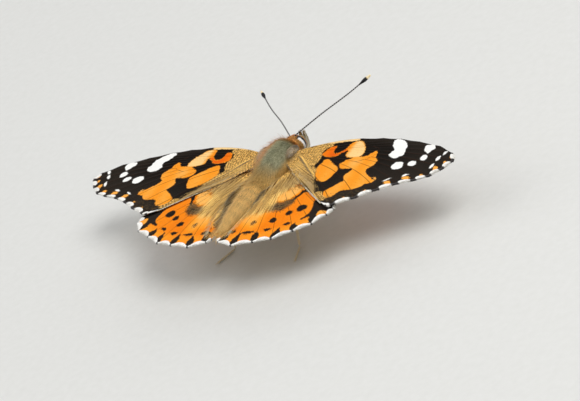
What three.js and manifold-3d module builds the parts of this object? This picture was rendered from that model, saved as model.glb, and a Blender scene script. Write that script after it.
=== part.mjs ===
// A painted lady butterfly, life size, resting with its wings held open and flat.
// Millimetres, +X to the butterfly's right, +Y to its head, +Z up. While the pieces are made,
// x = 0 is the middle of the body and z = 0 the level of the forewing roots. The group is then
// moved so that the origin lies on the floor, under the middle of the whole animal.
import * as THREE from "three";
import { mergeVertices } from "three/addons/utils/BufferGeometryUtils.js";
import Module from "manifold-3d";

const wasm = await Module();
wasm.setup();

// Driving dimensions
const GAP = 0.3; // clear space between touching pieces
const FLOOR_Z = -8.4; // what the feet stand on, below the forewing roots
const SIDES = { left: -1, right: 1 };

const MEMBRANE = 0.5; // wing thickness
const RIDGE = 0.13; // height of a vein above the membrane, on each face
const RIDGE_FOOT = 0.24; // half width of a vein at its foot
const ROOT_IN = 1.9; // how near the middle line the wings start, before they are cut to the thorax

// The body as rings across its length: [y, middle z, half width, half height]
const THORAX = [
  [0.72, -1.0, 1.45, 1.5],
  [0.1, -1.15, 2.15, 2.15],
  [-1.2, -1.35, 2.65, 2.78],
  [-3.0, -1.5, 2.85, 3.08],
  [-4.8, -1.5, 2.7, 2.85],
  [-6.3, -1.35, 2.25, 2.2],
  [-7.15, -1.2, 1.8, 1.7],
];
const HEAD = [
  [2.85, -1.25, 0.45, 0.55],
  [2.5, -1.2, 0.92, 1.05],
  [1.95, -1.15, 1.22, 1.33],
  [1.35, -1.12, 1.2, 1.28],
  [1.05, -1.1, 0.95, 1.05],
];
const ABDOMEN_FRONT = -7.47;
const ABDOMEN_LENGTH = 11.2;
const ABDOMEN_SEGMENTS = 8;
const ABDOMEN_HALF_WIDTH = 1.8;
const ABDOMEN_LEVEL = -1.15; // height of its middle at its front
const ABDOMEN_RISE = 0.4; // how far its tip is held above that

const EYE_CENTRE = [0.9, 1.9, -1.15];
const EYE_RADII = [0.7, 0.8, 1.0];
const ANTENNA_RADIUS = 0.26;
const CLUB_RADIUS = 0.38;
const CLUB_LENGTH = 2.1;
const FEMUR_RADIUS = 0.42;
const TIBIA_RADIUS = 0.31;
const TARSUS_RADIUS = 0.28;

// Colours and surface of the pieces
const LOOK = {
  fur: { color: 0x8f8a6c, roughness: 0.9 },
  belly: { color: 0xb89a68, roughness: 0.9 },
  crown: { color: 0xa8703a, roughness: 0.9 },
  eye: { color: 0x4a4030, roughness: 0.25 },
  antenna: { color: 0x1d1b1c, roughness: 0.5 },
  wing: { color: 0xf08a30, roughness: 0.75 },
  leg: { color: 0xc9b48c, roughness: 0.7 },
  tongue: { color: 0x3c2a1c, roughness: 0.4 },
};

// A closed skin over rings of equally many points, with each end closed by a fan.
function loft(rings) {
  const n = rings[0].length;
  const points = rings.flat();
  const faces = [];
  for (let i = 0; i + 1 < rings.length; i++)
    for (let j = 0; j < n; j++) {
      const a = i * n + j;
      const b = i * n + ((j + 1) % n);
      faces.push(a, b, b + n, a, b + n, a + n);
    }
  const ends = [rings[0], rings[rings.length - 1]];
  ends.forEach((edge, end) => {
    const middle = new THREE.Vector3();
    edge.forEach((p) => middle.addScaledVector(p, 1 / n));
    const hub = points.push(middle) - 1;
    const first = end ? (rings.length - 1) * n : 0;
    for (let j = 0; j < n; j++) {
      const a = first + j;
      const b = first + ((j + 1) % n);
      faces.push(hub, end ? a : b, end ? b : a);
    }
  });
  const geometry = new THREE.BufferGeometry().setFromPoints(points);
  geometry.setIndex(faces);
  return geometry;
}

// A ring of points about a centre, in the plane of the directions u and v.
function ring(centre, u, v, ru, rv, sides) {
  return Array.from({ length: sides }, (_, i) => {
    const a = (2 * Math.PI * i) / sides;
    return centre
      .clone()
      .addScaledVector(u, ru * Math.cos(a))
      .addScaledVector(v, rv * Math.sin(a));
  });
}

// A body piece from its rings, smoothed along the length; grow makes it fatter all over.
const X = new THREE.Vector3(1, 0, 0);
const Z = new THREE.Vector3(0, 0, 1);
function trunk(stations, steps, sides, grow = 0) {
  const shape = new THREE.CatmullRomCurve3(stations.map(([y, z, w]) => new THREE.Vector3(w, y, z)));
  const height = new THREE.CatmullRomCurve3(stations.map(([y, , , h]) => new THREE.Vector3(h, y, 0)));
  const rings = [];
  for (let i = 0; i <= steps; i++) {
    const s = shape.getPoint(i / steps);
    const h = height.getPoint(i / steps).x;
    const y = s.y + (i === 0 ? grow : 0) - (i === steps ? grow : 0); // the list runs from front to back
    rings.push(ring(new THREE.Vector3(0, y, s.z), X, Z, s.x + grow, h + grow, sides));
  }
  return loft(rings);
}

// A limb along a smooth path through points; radius(t) gives its thickness from root to tip.
function limb(points, radius, steps, sides) {
  const path = new THREE.CatmullRomCurve3(points.map((p) => new THREE.Vector3(...p)));
  const frames = path.computeFrenetFrames(steps);
  const rings = [];
  for (let i = 0; i <= steps; i++) {
    const centre = path.getPointAt(i / steps);
    const r = radius(i / steps);
    rings.push(ring(centre, frames.normals[i], frames.binormals[i], r, r, sides));
  }
  return loft(rings);
}

function solid(geometry) {
  const bare = mergeVertices(geometry, 1e-4);
  return new wasm.Manifold(
    new wasm.Mesh({
      numProp: 3,
      vertProperties: new Float32Array(bare.attributes.position.array),
      triVerts: new Uint32Array(bare.index.array),
    }),
  );
}

// The geometry of a solid, keeping only its largest body.
function geometryOf(made) {
  const bodies = made.decompose().sort((a, b) => b.volume() - a.volume());
  const mesh = bodies[0].getMesh();
  const geometry = new THREE.BufferGeometry();
  geometry.setAttribute("position", new THREE.BufferAttribute(new Float32Array(mesh.vertProperties), 3));
  geometry.setIndex(new THREE.BufferAttribute(new Uint32Array(mesh.triVerts), 1));
  return geometry;
}

// A piece cut back to keep the clear gap round its neighbours, given as grown geometries.
function clear(geometry, ...grown) {
  return geometryOf(grown.reduce((made, g) => made.subtract(solid(g)), solid(geometry)));
}

const butterfly = new THREE.Group();
function add(name, geometry, look, side = 1) {
  geometry.computeVertexNormals();
  const mesh = new THREE.Mesh(geometry, new THREE.MeshStandardMaterial({ metalness: 0, ...look }));
  mesh.name = name;
  mesh.scale.x = side;
  butterfly.add(mesh);
}

// Body: the furred thorax and the ringed abdomen behind it.
const thoraxRings = (grow) => trunk(THORAX, 12, 20, grow);
add("thorax", thoraxRings(0), LOOK.fur);
const thoraxGrown = thoraxRings(GAP);

function abdomenHalfWidth(t) {
  return ABDOMEN_HALF_WIDTH * Math.pow(Math.sin(Math.PI * (0.3 + 0.695 * t)), 0.75);
}

function abdomen(grow) {
  const step = 0.06; // how far each ring of the abdomen stands over the next
  const rings = [];
  for (let i = 0; i < ABDOMEN_SEGMENTS; i++)
    for (const [part, swell] of [[0.02, 0], [0.3, step], [0.98, step]]) {
      const t = (i + part) / ABDOMEN_SEGMENTS;
      const w = abdomenHalfWidth(t) + swell + grow;
      const y = ABDOMEN_FRONT - ABDOMEN_LENGTH * t;
      const centre = new THREE.Vector3(0, y, ABDOMEN_LEVEL + ABDOMEN_RISE * t * t);
      rings.push(ring(centre, X, Z, w, w * 0.94, 16));
    }
  return loft(rings);
}
add("abdomen", abdomen(0), LOOK.belly);
const abdomenGrown = abdomen(GAP);

// Head: a round box between two big eyes, each in its socket.
function eye(grow) {
  const g = new THREE.SphereGeometry(1, 14, 10);
  g.scale(...EYE_RADII.map((r) => r + grow));
  g.translate(...EYE_CENTRE);
  g.deleteAttribute("normal");
  g.deleteAttribute("uv");
  return mergeVertices(g, 1e-4);
}
const mirrored = (g) => geometryOf(solid(g).mirror([1, 0, 0]));
const headGrown = trunk(HEAD, 8, 18, GAP);
add("head", clear(trunk(HEAD, 8, 18), eye(GAP), mirrored(eye(GAP))), LOOK.crown);
for (const [name, side] of Object.entries(SIDES)) add("eye_" + name, eye(0), LOOK.eye, side);

// Palps: two furred feelers that rise before the face, and the coiled tongue between them.
const PALP = [[0.47, 2.2, -2.85], [0.48, 2.95, -2.55], [0.44, 3.28, -1.65], [0.38, 3.5, -0.65]];
const palp = limb(PALP, (t) => 0.26 + 0.08 * Math.sin(Math.PI * t) - 0.1 * t * t, 8, 8);
const palpSeated = clear(palp, headGrown, eye(GAP));
for (const [name, side] of Object.entries(SIDES))
  add("palp_" + name, palpSeated.clone(), LOOK.crown, side);

// Antennae: a slender shaft with a club at its end, leaned as the animal holds them.
const ANTENNAE = {
  left: [[-0.6, 1.9, -0.15], [-3.6, 4.55, 0.5], [-7.0, 7.2, 1.05], [-10.65, 10.5, 1.75]],
  right: [[0.45, 2.0, 0.0], [3.6, 4.9, 1.05], [7.15, 8.15, 2.0], [9.9, 10.75, 2.95]],
};
for (const [name, route] of Object.entries(ANTENNAE)) {
  const path = new THREE.CatmullRomCurve3(route.map((p) => new THREE.Vector3(...p)));
  const length = path.getLength();
  const cut = 1 - CLUB_LENGTH / length;
  const between = (from, to) =>
    Array.from({ length: 7 }, (_, i) => path.getPointAt(from + ((to - from) * i) / 6).toArray());
  const shaft = limb(between(0, cut - GAP / length), () => ANTENNA_RADIUS, 12, 7);
  add("antenna_" + name, clear(shaft, headGrown), LOOK.antenna);
  const swell = CLUB_RADIUS - ANTENNA_RADIUS;
  const bulge = (t) => ANTENNA_RADIUS + swell * Math.sin((Math.PI * t) / 1.35) - 0.12 * t ** 6;
  add("antenna_club_" + name, limb(between(cut, 1), bulge, 7, 8), LOOK.antenna);
}

// Legs: femur, tibia and tarsus of the four walking legs, as points from the hip to the toe tip.
// The tarsus lies along the floor with its underside flat on it.
const SOLE_Z = FLOOR_Z + 0.17; // middle of the tarsus, a little nearer the floor than its thickness
const LEGS = {
  middle: {
    hip: [0.9, -2.4, -3.95],
    knee: [5.6, -1.5, -3.3],
    ankle: [7.4, -0.7, SOLE_Z],
    toe: [10.6, 0.9, SOLE_Z],
  },
  hind: {
    hip: [0.9, -4.8, -3.8],
    knee: [4.5, -8.3, -3.6],
    ankle: [5.9, -12.3, SOLE_Z],
    toe: [7.2, -15.7, SOLE_Z],
  },
};

// A straight limb between two points, shortened at each end by half the gap.
function bone(from, to, radius, sides, bow = 0) {
  const a = new THREE.Vector3(...from);
  const b = new THREE.Vector3(...to);
  const along = b.clone().sub(a).normalize();
  a.addScaledVector(along, GAP / 2);
  b.addScaledVector(along, -GAP / 2);
  const middle = a.clone().lerp(b, 0.5);
  middle.z += bow;
  return limb([a.toArray(), middle.toArray(), b.toArray()], radius, 5, sides);
}

function standOnFloor(geometry) {
  const p = geometry.attributes.position;
  for (let i = 0; i < p.count; i++) p.setZ(i, Math.max(p.getZ(i), FLOOR_Z));
  return geometry;
}

for (const [pair, at] of Object.entries(LEGS)) {
  const thigh = bone(at.hip, at.knee, (t) => FEMUR_RADIUS * (1 - 0.35 * t), 10, 0.25);
  const shin = bone(at.knee, at.ankle, (t) => TIBIA_RADIUS * (1 - 0.15 * t), 8);
  const foot = standOnFloor(bone(at.ankle, at.toe, (t) => TARSUS_RADIUS * (1 - 0.1 * t), 8));
  const thighSeated = clear(thigh, thoraxGrown);
  for (const [name, side] of Object.entries(SIDES)) {
    add(`${pair}_femur_${name}`, thighSeated.clone(), LOOK.leg, side);
    add(`${pair}_tibia_${name}`, shin.clone(), LOOK.leg, side);
    add(`${pair}_tarsus_${name}`, foot.clone(), LOOK.leg, side);
  }
}

// Forelegs: short brushes folded up under the chest, which never touch the ground.
const FORELEG = [[0.9, -1.4, -3.2], [1.05, -0.9, -4.1], [0.95, 0.6, -3.75], [0.85, 1.7, -3.05]];
const foreleg = limb(FORELEG, (t) => 0.34 - 0.08 * t, 8, 8);
const forelegSeated = clear(foreleg, thoraxGrown, headGrown);
for (const [name, side] of Object.entries(SIDES))
  add("foreleg_" + name, forelegSeated.clone(), LOOK.leg, side);

// Tongue: rolled up in a flat coil under the face.
const COIL_HALF = 0.28; // half its thickness
const COIL_GROOVE = 0.06; // depth of the groove between two of its turns
const coilProfile = [
  [0, -COIL_HALF],
  [0.3, -COIL_HALF],
  [0.42, COIL_GROOVE - COIL_HALF],
  [0.56, -COIL_HALF],
  [0.78, -0.2],
  [0.86, 0],
];
const coilSection = [...coilProfile, ...coilProfile.slice(0, -1).reverse().map(([r, z]) => [r, -z])];
const coil = new THREE.LatheGeometry(coilSection.map(([r, z]) => new THREE.Vector2(r, z)), 16);
coil.deleteAttribute("normal");
coil.deleteAttribute("uv");
coil.rotateZ(Math.PI / 2);
coil.translate(0, 2.5, -3.38);
add("proboscis", geometryOf(solid(mergeVertices(coil, 1e-4))), LOOK.tongue);

// Wings. Every line of a wing runs from its root to its edge. A vein is three such lines, foot,
// crest and foot, so its ridge is part of the membrane, and both faces are split alike.
// Each vein: its end on the wing's edge, a point halfway that it passes, and where it starts (2
// for a plain edge without a vein). dips: how far the edge curves in between two veins.
const FOREWING = {
  root: [[-1.75, 0.02], [-2.9, -0.05]],
  veins: [
    { end: [14.0, 0.0], via: [7.6, -0.35], from: 0 },
    { end: [17.6, -0.15], via: [9.4, -0.8], from: 0 },
    { end: [20.9, -0.55], via: [11.4, -1.15], from: 0.45 },
    { end: [24.6, -1.45], via: [13.4, -1.45], from: 0.5 },
    { end: [28.9, -2.75], via: [15.7, -1.8], from: 0 },
    { end: [31.9, -4.35], via: [16.9, -2.25], from: 0.66 },
    { end: [32.8, -5.8], via: [17.3, -2.8], from: 0.56 },
    { end: [31.8, -7.2], via: [17.1, -3.3], from: 0.54 },
    { end: [30.3, -8.5], via: [16.6, -3.85], from: 0.54 },
    { end: [28.2, -9.2], via: [15.9, -4.3], from: 0.54 },
    { end: [25.6, -9.85], via: [14.7, -4.7], from: 0 },
    { end: [22.9, -11.05], via: [13.0, -5.15], from: 0.42 },
    { end: [20.3, -12.6], via: [11.3, -5.75], from: 0.28 },
    { end: [17.25, -14.1], via: [9.6, -7.15], from: 0 },
    { end: [16.4, -14.25], via: [8.2, -9.3], from: 2 },
  ],
  dips: [0, 0, 0, 0, -0.1, -0.26, 0.04, 0.1, 0.12, 0.12, 0.12, 0.12, 0.12, 0],
  cell: { first: 4, last: 10, at: 0.54 },
};
const HINDWING = {
  root: [[-3.6, -0.75], [-7.0, -0.8]],
  veins: [
    { end: [17.2, -13.4], via: [9.6, -6.7], from: 2 },
    { end: [17.55, -14.3], via: [9.0, -8.6], from: 0 },
    { end: [17.25, -15.6], via: [8.6, -9.5], from: 0.4 },
    { end: [15.8, -17.4], via: [8.0, -10.4], from: 0.4 },
    { end: [13.2, -18.6], via: [7.2, -11.1], from: 0.42 },
    { end: [10.4, -20.15], via: [6.3, -11.8], from: 0.42 },
    { end: [7.45, -20.7], via: [5.2, -12.4], from: 0 },
    { end: [3.9, -21.3], via: [3.75, -12.8], from: 0.4 },
    { end: [1.0, -20.4], via: [2.7, -12.9], from: 0 },
    { end: [0.5, -19.8], via: [1.75, -13.0], from: 2 },
  ],
  dips: [0, 0.15, 0.15, 0.15, 0.15, 0.15, 0.15, 0.1, 0],
  cell: { first: 1, last: 6, at: 0.42 },
};
const STATIONS = 11; // steps from the root to the edge
const CELL_VEIN = 0.012; // half width of the cell's cross vein, as a share of the line's length
const VEIN_SWELL = 0.05; // share of its length over which a vein rises out of the membrane

const smooth = (from, to, x) => THREE.MathUtils.smoothstep(x, from, to);
const lerp = THREE.MathUtils.lerp;

// Height of the middle of each wing at a place p, for a share s from root to edge and a share
// across. The forewing sags between its edges and its tip is turned up at the front.
const FOREWING_FORM = { level: 0.12, sag: 0.5, turn: 0.09, turnAxis: -9.3, turnFrom: 8, turnTo: 32 };
function forewingHeight(p, s, across) {
  const { level, sag, turn, turnAxis, turnFrom, turnTo } = FOREWING_FORM;
  const out = THREE.MathUtils.clamp((p.x - turnFrom) / (turnTo - turnFrom), 0, 1);
  return level - sag * s * s * Math.sin(Math.PI * across) + turn * (p.y - turnAxis) * out * out;
}

// The hindwing is tucked under the forewing, free behind it, and folded down beside the body.
const HINDWING_FORM = { tucked: -0.98, free: -0.45, droop: 0.38, rootDrop: 0.5, foldDrop: 0.45 };
const HINDWING_SWELLS = [
  { at: new THREE.Vector2(17, -14.5), height: 0.3, reach: 3 },
  { at: new THREE.Vector2(10.5, -15), height: -0.14, reach: 3.5 },
];
const forewingHindEdge = (x) => -4.6 - 0.62 * (x - 2) - 0.12 * Math.max(0, 8 - Math.abs(x - 8));
function hindwingHeight(p, s, across) {
  const { tucked, free, droop, rootDrop, foldDrop } = HINDWING_FORM;
  let open = free - droop * smooth(0.7, 1, s) - rootDrop * (1 - smooth(0.1, 0.5, s));
  for (const { at, height, reach } of HINDWING_SWELLS)
    open += height * Math.exp(-Math.pow(at.distanceTo(p) / reach, 2));
  const behind = smooth(0.3, 2.4, forewingHindEdge(p.x) - p.y);
  return lerp(tucked, open, behind) - foldDrop * smooth(0.86, 1, across) * (1 - smooth(0.75, 1, s));
}

// Steps from 0 to 1 with three close ones where the cell's cross vein lies.
function stations(cellAt) {
  const list = Array.from({ length: STATIONS + 1 }, (_, i) => i / STATIONS);
  const away = list.filter((s) => Math.abs(s - cellAt) > 0.03);
  return [...away, cellAt - CELL_VEIN, cellAt, cellAt + CELL_VEIN].sort((a, b) => a - b);
}

function wing(plan, height) {
  const count = plan.veins.length;
  const [[y0, z0], [y1, z1]] = plan.root;
  const curves = plan.veins.map(({ end, via }, i) => {
    const root = new THREE.Vector2(ROOT_IN, lerp(y0, y1, i / (count - 1)));
    const tip = new THREE.Vector2(...end);
    const pull = new THREE.Vector2(...via).multiplyScalar(2);
    pull.addScaledVector(root, -0.5).addScaledVector(tip, -0.5);
    return new THREE.QuadraticBezierCurve(root, pull, tip);
  });
  const top = [];
  const bottom = [];
  for (const s of stations(plan.cell.at)) {
    const row = [];
    const { first, last, at: cellAt } = plan.cell;
    const onCell = Math.abs(s - cellAt) < 1e-6;
    for (let i = 0; i < count; i++) {
      const here = curves[i].getPoint(s);
      const inCell = onCell && i >= first && i < last;
      const start = plan.veins[i].from;
      const crest = s >= start ? smooth(start - VEIN_SWELL, start + VEIN_SWELL, s) : 0;
      row.push({ p: here, rise: inCell || (onCell && i === last) ? 1 : crest, at: i });
      if (i + 1 === count) break;
      const next = curves[i + 1].getPoint(s);
      const foot = Math.min(0.3, RIDGE_FOOT / here.distanceTo(next));
      for (const f of [foot, 0.5, 1 - foot]) {
        const p = here.clone().lerp(next, f);
        const dip = f === 0.5 ? plan.dips[i] * smooth(0.9, 1, s) : 0;
        const inward = new THREE.Vector2(ROOT_IN, y0).sub(p).normalize();
        row.push({ p: p.addScaledVector(inward, dip), rise: inCell ? 1 : 0, at: i + f });
      }
    }
    const place = (side) =>
      row.map(({ p, rise, at }) => {
        const across = at / (count - 1);
        const level = height(p, s, across) + lerp(z0, z1, across) * (1 - smooth(0, 0.25, s));
        return new THREE.Vector3(p.x, p.y, level + side * (MEMBRANE / 2 + RIDGE * rise));
      });
    top.push(place(1));
    bottom.push(place(-1));
  }
  return sheet(top, bottom);
}

// A closed sheet between two equal grids of points, split into the same triangles on both faces.
function sheet(top, bottom) {
  const rows = top.length;
  const columns = top[0].length;
  const points = [...top.flat(), ...bottom.flat()];
  const under = rows * columns;
  const faces = [];
  const quad = (a, b, c, d) => faces.push(a, c, b, a, d, c);
  for (let i = 0; i + 1 < rows; i++)
    for (let j = 0; j + 1 < columns; j++) {
      const a = i * columns + j;
      const [b, c, d] = [a + 1, a + columns + 1, a + columns];
      quad(a, d, c, b);
      faces.push(under + a, under + c, under + b, under + a, under + d, under + c);
    }
  for (let j = 0; j + 1 < columns; j++) {
    const last = (rows - 1) * columns + j;
    quad(j, j + 1, under + j + 1, under + j);
    quad(last + 1, last, under + last, under + last + 1);
  }
  for (let i = 0; i + 1 < rows; i++) {
    const a = i * columns;
    const b = a + columns - 1;
    quad(a + columns, a, under + a, under + a + columns);
    quad(b, b + columns, under + b + columns, under + b);
  }
  const geometry = new THREE.BufferGeometry().setFromPoints(points);
  geometry.setIndex(faces);
  return geometry;
}

const forewing = clear(wing(FOREWING, forewingHeight), thoraxGrown);
const hindwing = clear(wing(HINDWING, hindwingHeight), thoraxGrown, abdomenGrown);
for (const [name, side] of Object.entries(SIDES)) {
  add("forewing_" + name, forewing.clone(), LOOK.wing, side);
  add("hindwing_" + name, hindwing.clone(), LOOK.wing, side);
}

// The origin: on the floor, under the middle of the whole animal.
butterfly.updateMatrixWorld(true);
const box = new THREE.Box3().setFromObject(butterfly, true);
const middle = box.getCenter(new THREE.Vector3());
butterfly.position.set(-middle.x, -middle.y, -box.min.z);

export default butterfly;
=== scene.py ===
from math import cos, pi, radians, sin

import bmesh
import bpy
import numpy as np
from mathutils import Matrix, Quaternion, Vector


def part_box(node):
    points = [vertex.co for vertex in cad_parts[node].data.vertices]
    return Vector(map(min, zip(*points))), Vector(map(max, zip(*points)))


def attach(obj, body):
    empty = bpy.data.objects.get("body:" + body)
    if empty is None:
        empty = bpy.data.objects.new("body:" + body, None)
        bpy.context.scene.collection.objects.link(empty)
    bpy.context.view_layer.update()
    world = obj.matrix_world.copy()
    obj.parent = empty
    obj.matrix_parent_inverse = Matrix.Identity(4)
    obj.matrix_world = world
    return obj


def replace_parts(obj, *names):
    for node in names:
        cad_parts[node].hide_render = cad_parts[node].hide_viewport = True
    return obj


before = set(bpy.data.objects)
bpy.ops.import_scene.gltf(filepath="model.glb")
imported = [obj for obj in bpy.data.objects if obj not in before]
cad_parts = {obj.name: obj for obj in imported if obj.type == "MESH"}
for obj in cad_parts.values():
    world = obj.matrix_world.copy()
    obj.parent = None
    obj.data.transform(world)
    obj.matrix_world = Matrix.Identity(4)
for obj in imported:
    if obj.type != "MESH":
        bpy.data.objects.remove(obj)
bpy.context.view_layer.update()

# Camera, soft studio lights and a floor of pale paper. The view is from behind the right wing,
# about 27 degrees up, and it leans, because the insect is set level on the floor. Sizes are in
# millimetres from the middle of the body at the height of the forewing roots.
MM = 0.001
THORAX_FRONT = 0.72       # from that middle forwards to the front of the thorax
STANCE = 8.4              # and down to the floor
ORIGIN_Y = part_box("thorax")[1].y - THORAX_FRONT * MM
ORIGIN_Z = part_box("middle_tarsus_left")[0].z + STANCE * MM
AIM = (9.282, -12.797, 0.0)
AZIMUTH, ELEVATION, LEAN, DISTANCE = 47.992, 26.761, -29.334, 482.9
LENS, SENSOR = 226.15, 36.0
NEAREST = 0.01
LIGHTS = (  # name, azimuth, elevation, size and power
    ("key_light", 88, 56, 0.42, 3.1),
    ("fill_light", -70, 45, 0.6, 1.5),
    ("front_light", 185, 35, 0.5, 0.8),
)
LIGHT_DISTANCE = 0.7
SKY_COLOUR, SKY_STRENGTH = (0.93, 0.96, 1.0, 1.0), 0.4
FLOOR_SIZE = 1.6


def placed(points):
    """Turns millimetres from the body's middle into metres in the shared frame."""
    return np.asarray(points, float) * MM + np.array([0.0, ORIGIN_Y, ORIGIN_Z])


def from_angles(azimuth, elevation):
    """A unit vector: azimuth 0 is behind the tail, 90 is off the right wing tip."""
    a, e = radians(azimuth), radians(elevation)
    return Vector((sin(a) * cos(e), -cos(a) * cos(e), sin(e)))


def linked(name, data):
    thing = bpy.data.objects.new(name, data)
    bpy.context.scene.collection.objects.link(thing)
    return thing


def look_back(thing, away, roll=0.0):
    """Turns a camera or light to look against the direction that it lies in."""
    thing.rotation_mode = "QUATERNION"
    thing.rotation_quaternion = (-away).to_track_quat("-Z", "Y") @ Quaternion((0, 0, 1), radians(roll))


camera = linked("camera", bpy.data.cameras.new("camera"))
camera.data.lens = LENS
camera.data.sensor_width = SENSOR
camera.data.clip_start = NEAREST
back = from_angles(AZIMUTH, ELEVATION)
camera.location = Vector(placed(AIM)) + back * DISTANCE * MM
look_back(camera, back, LEAN)
bpy.context.scene.camera = camera

for name, azimuth, elevation, size, power in LIGHTS:
    lamp = linked(name, bpy.data.lights.new(name, "AREA"))
    lamp.data.size = size
    lamp.data.energy = power
    away = from_angles(azimuth, elevation)
    lamp.location = away * LIGHT_DISTANCE
    look_back(lamp, away)

world = bpy.data.worlds.new("studio")
bpy.context.scene.world = world
world.use_nodes = True
sky = world.node_tree.nodes["Background"].inputs
sky["Color"].default_value = SKY_COLOUR
sky["Strength"].default_value = SKY_STRENGTH
bpy.context.scene.view_settings.view_transform = "Standard"


class Wire:
    """A node's output that can be added and multiplied like a number."""

    def __init__(self, shader, socket):
        self.shader = shader
        self.socket = socket

    def maths(self, operation, *values):
        return self.shader.node("Math", {"operation": operation}, dict(enumerate(values)))

    def __add__(self, other):
        return self.maths("ADD", self, other)

    def __sub__(self, other):
        return self.maths("SUBTRACT", self, other)

    def __rsub__(self, other):
        return self.maths("SUBTRACT", other, self)

    def __mul__(self, other):
        return self.maths("MULTIPLY", self, other)

    __radd__ = __add__
    __rmul__ = __mul__

    def smooth(self, low, high):
        """0 below low, 1 above high, and a soft step between them."""
        return self.shader.node("MapRange", {"interpolation_type": "SMOOTHSTEP"},
                                {"Value": self, "From Min": low, "From Max": high})


class Finish:
    """A procedural material, built node by node. Colours are as the eye reads them, 0 to 255."""

    def __init__(self, name, **constants):
        self.material = bpy.data.materials.new(name)
        self.material.use_nodes = True
        self.tree = self.material.node_tree
        self.surface = self.tree.nodes["Principled BSDF"]
        for socket, value in constants.items():
            title = socket.replace("_", " ").title().replace("Ior", "IOR")
            self.surface.inputs[title].default_value = value

    def node(self, kind, settings=None, inputs=None, output=0):
        made = self.tree.nodes.new("ShaderNode" + kind)
        for key, value in (settings or {}).items():
            if key == "stops":
                ramp = made.color_ramp
                while len(ramp.elements) < len(value):
                    ramp.elements.new(0.5)
                for element, (position, colour) in zip(ramp.elements, value):
                    element.position = position
                    element.color = (*light_of(colour), 1.0)
            else:
                setattr(made, key, value)
        for key, value in (inputs or {}).items():
            self.put(made.inputs[key], value)
        return Wire(self, made.outputs[output])

    def put(self, socket, value):
        if isinstance(value, Wire):
            self.tree.links.new(value.socket, socket)
        elif socket.type == "RGBA":
            socket.default_value = (*light_of(value), 1.0)
        else:
            socket.default_value = value

    def mix(self, first, second, amount):
        """A blend of two colours."""
        inputs = {"Factor": amount, 6: first, 7: second}
        return self.node("Mix", {"data_type": "RGBA"}, inputs, output=2)

    def attribute(self, name, output=2):
        return self.node("Attribute", {"attribute_name": name}, output=output)

    def surface_is(self, **inputs):
        for socket, value in inputs.items():
            self.put(self.surface.inputs[socket.replace("_", " ").title()], value)


def light_of(colour):
    """The light values that the shader wants for a colour as the eye reads it."""
    return tuple(((c / 255 + 0.055) / 1.055) ** 2.4 if c > 10 else c / 3295 for c in colour)


def piece(name, mesh, finish, slot, smooth=True):
    """Gives a mesh its object and finish, and puts it in the root body when it has a slot."""
    if isinstance(mesh, bmesh.types.BMesh):
        made = bpy.data.meshes.new(name)
        mesh.to_mesh(made)
        mesh.free()
        mesh = made
    mesh.polygons.foreach_set("use_smooth", [smooth] * len(mesh.polygons))
    mesh.materials.append(finish.material)
    thing = linked(name, mesh)
    if slot:
        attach(thing, "root")
    return thing


paper = Finish("pale_paper", roughness=0.9)
paper_at = paper.node("TexCoord", output=3)
grain = paper.node("TexNoise", None, {"Vector": paper_at, "Scale": 900.0, "Detail": 2.0})
paper.surface_is(base_color=paper.mix((214, 213, 208), (222, 221, 217), grain))
floor = bmesh.new()
bmesh.ops.create_grid(floor, x_segments=1, y_segments=1, size=FLOOR_SIZE)
piece("floor", floor, paper, None, smooth=False)

# Four wings, each a thin skin stretched over stiff veins, which fan out from the root and are
# joined by a cross vein that closes the cell. Each skin is one grid bent through the fan, with
# the veins raised in it, and its root lies at the thorax.
SIDES = (("left", -1), ("right", 1))
# Each vein is its end, the place where it passes its middle, and the share of its length at
# which it starts to show. A dip is how far the edge draws in between two veins, a cell is its
# first and last vein and its reach, and hair and rows of scales point away from the comb.
FOREWING = {
    "root": ((-2.7, -0.1), (-2.9, -0.3)),
    "veins": (
        ((14.0, 0.0), (7.6, -0.55), 0.0), ((17.6, -0.15), (9.4, -0.8), 0.0),
        ((20.9, -0.55), (11.4, -1.15), 0.45), ((24.6, -1.45), (13.4, -1.45), 0.5),
        ((28.9, -2.75), (15.7, -1.8), 0.0), ((31.9, -4.35), (16.9, -2.25), 0.66),
        ((32.8, -5.8), (17.3, -2.8), 0.56), ((31.8, -7.2), (17.1, -3.3), 0.54),
        ((30.3, -8.5), (16.6, -3.85), 0.54), ((28.2, -9.2), (15.9, -4.3), 0.54),
        ((25.6, -9.85), (14.7, -4.7), 0.0), ((22.9, -11.05), (13.0, -5.15), 0.42),
        ((20.3, -12.6), (11.3, -5.75), 0.28), ((17.25, -14.1), (9.6, -7.15), 0.0),
        ((16.4, -14.25), (8.2, -8.45), 2.0),
    ),
    "dip": (0, 0, 0, 0, -0.1, -0.26, 0.04, 0.1, 0.12, 0.12, 0.12, 0.12, 0.12, 0),
    "cell": (4, 10, 0.54), "fringe_from": 5, "ink": 0.0, "comb": (0.0, -1.75, 14.0),
}
HINDWING = {
    "root": ((-3.2, -0.7), (-7.0, -0.8)),
    "veins": (
        ((17.2, -13.4), (9.6, -6.7), 2.0), ((17.55, -14.3), (9.0, -8.6), 0.0),
        ((17.25, -15.6), (8.6, -9.5), 0.4), ((15.8, -17.4), (8.0, -10.4), 0.4),
        ((13.2, -18.6), (7.2, -11.1), 0.42), ((10.4, -20.15), (6.3, -11.8), 0.42),
        ((7.45, -20.7), (5.2, -12.4), 0.0), ((3.9, -21.3), (3.75, -12.8), 0.4),
        ((1.0, -20.4), (2.7, -12.9), 0.0), ((0.5, -19.8), (1.75, -13.0), 2.0),
    ),
    "dip": (0, 0.15, 0.15, 0.15, 0.15, 0.15, 0.15, 0.1, 0),
    "cell": (1, 6, 0.42), "fringe_from": 0, "ink": 0.03, "comb": (1.0, 6.0, 20.0),
}
ROOT_X = 1.3
SKIN = 0.12               # thickness of the skin
VEIN_RISE = 0.06          # the veins stand this much above it
VEIN_WIDTH = 0.13
SAG = 0.05                # and the skin sags this much between them
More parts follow.
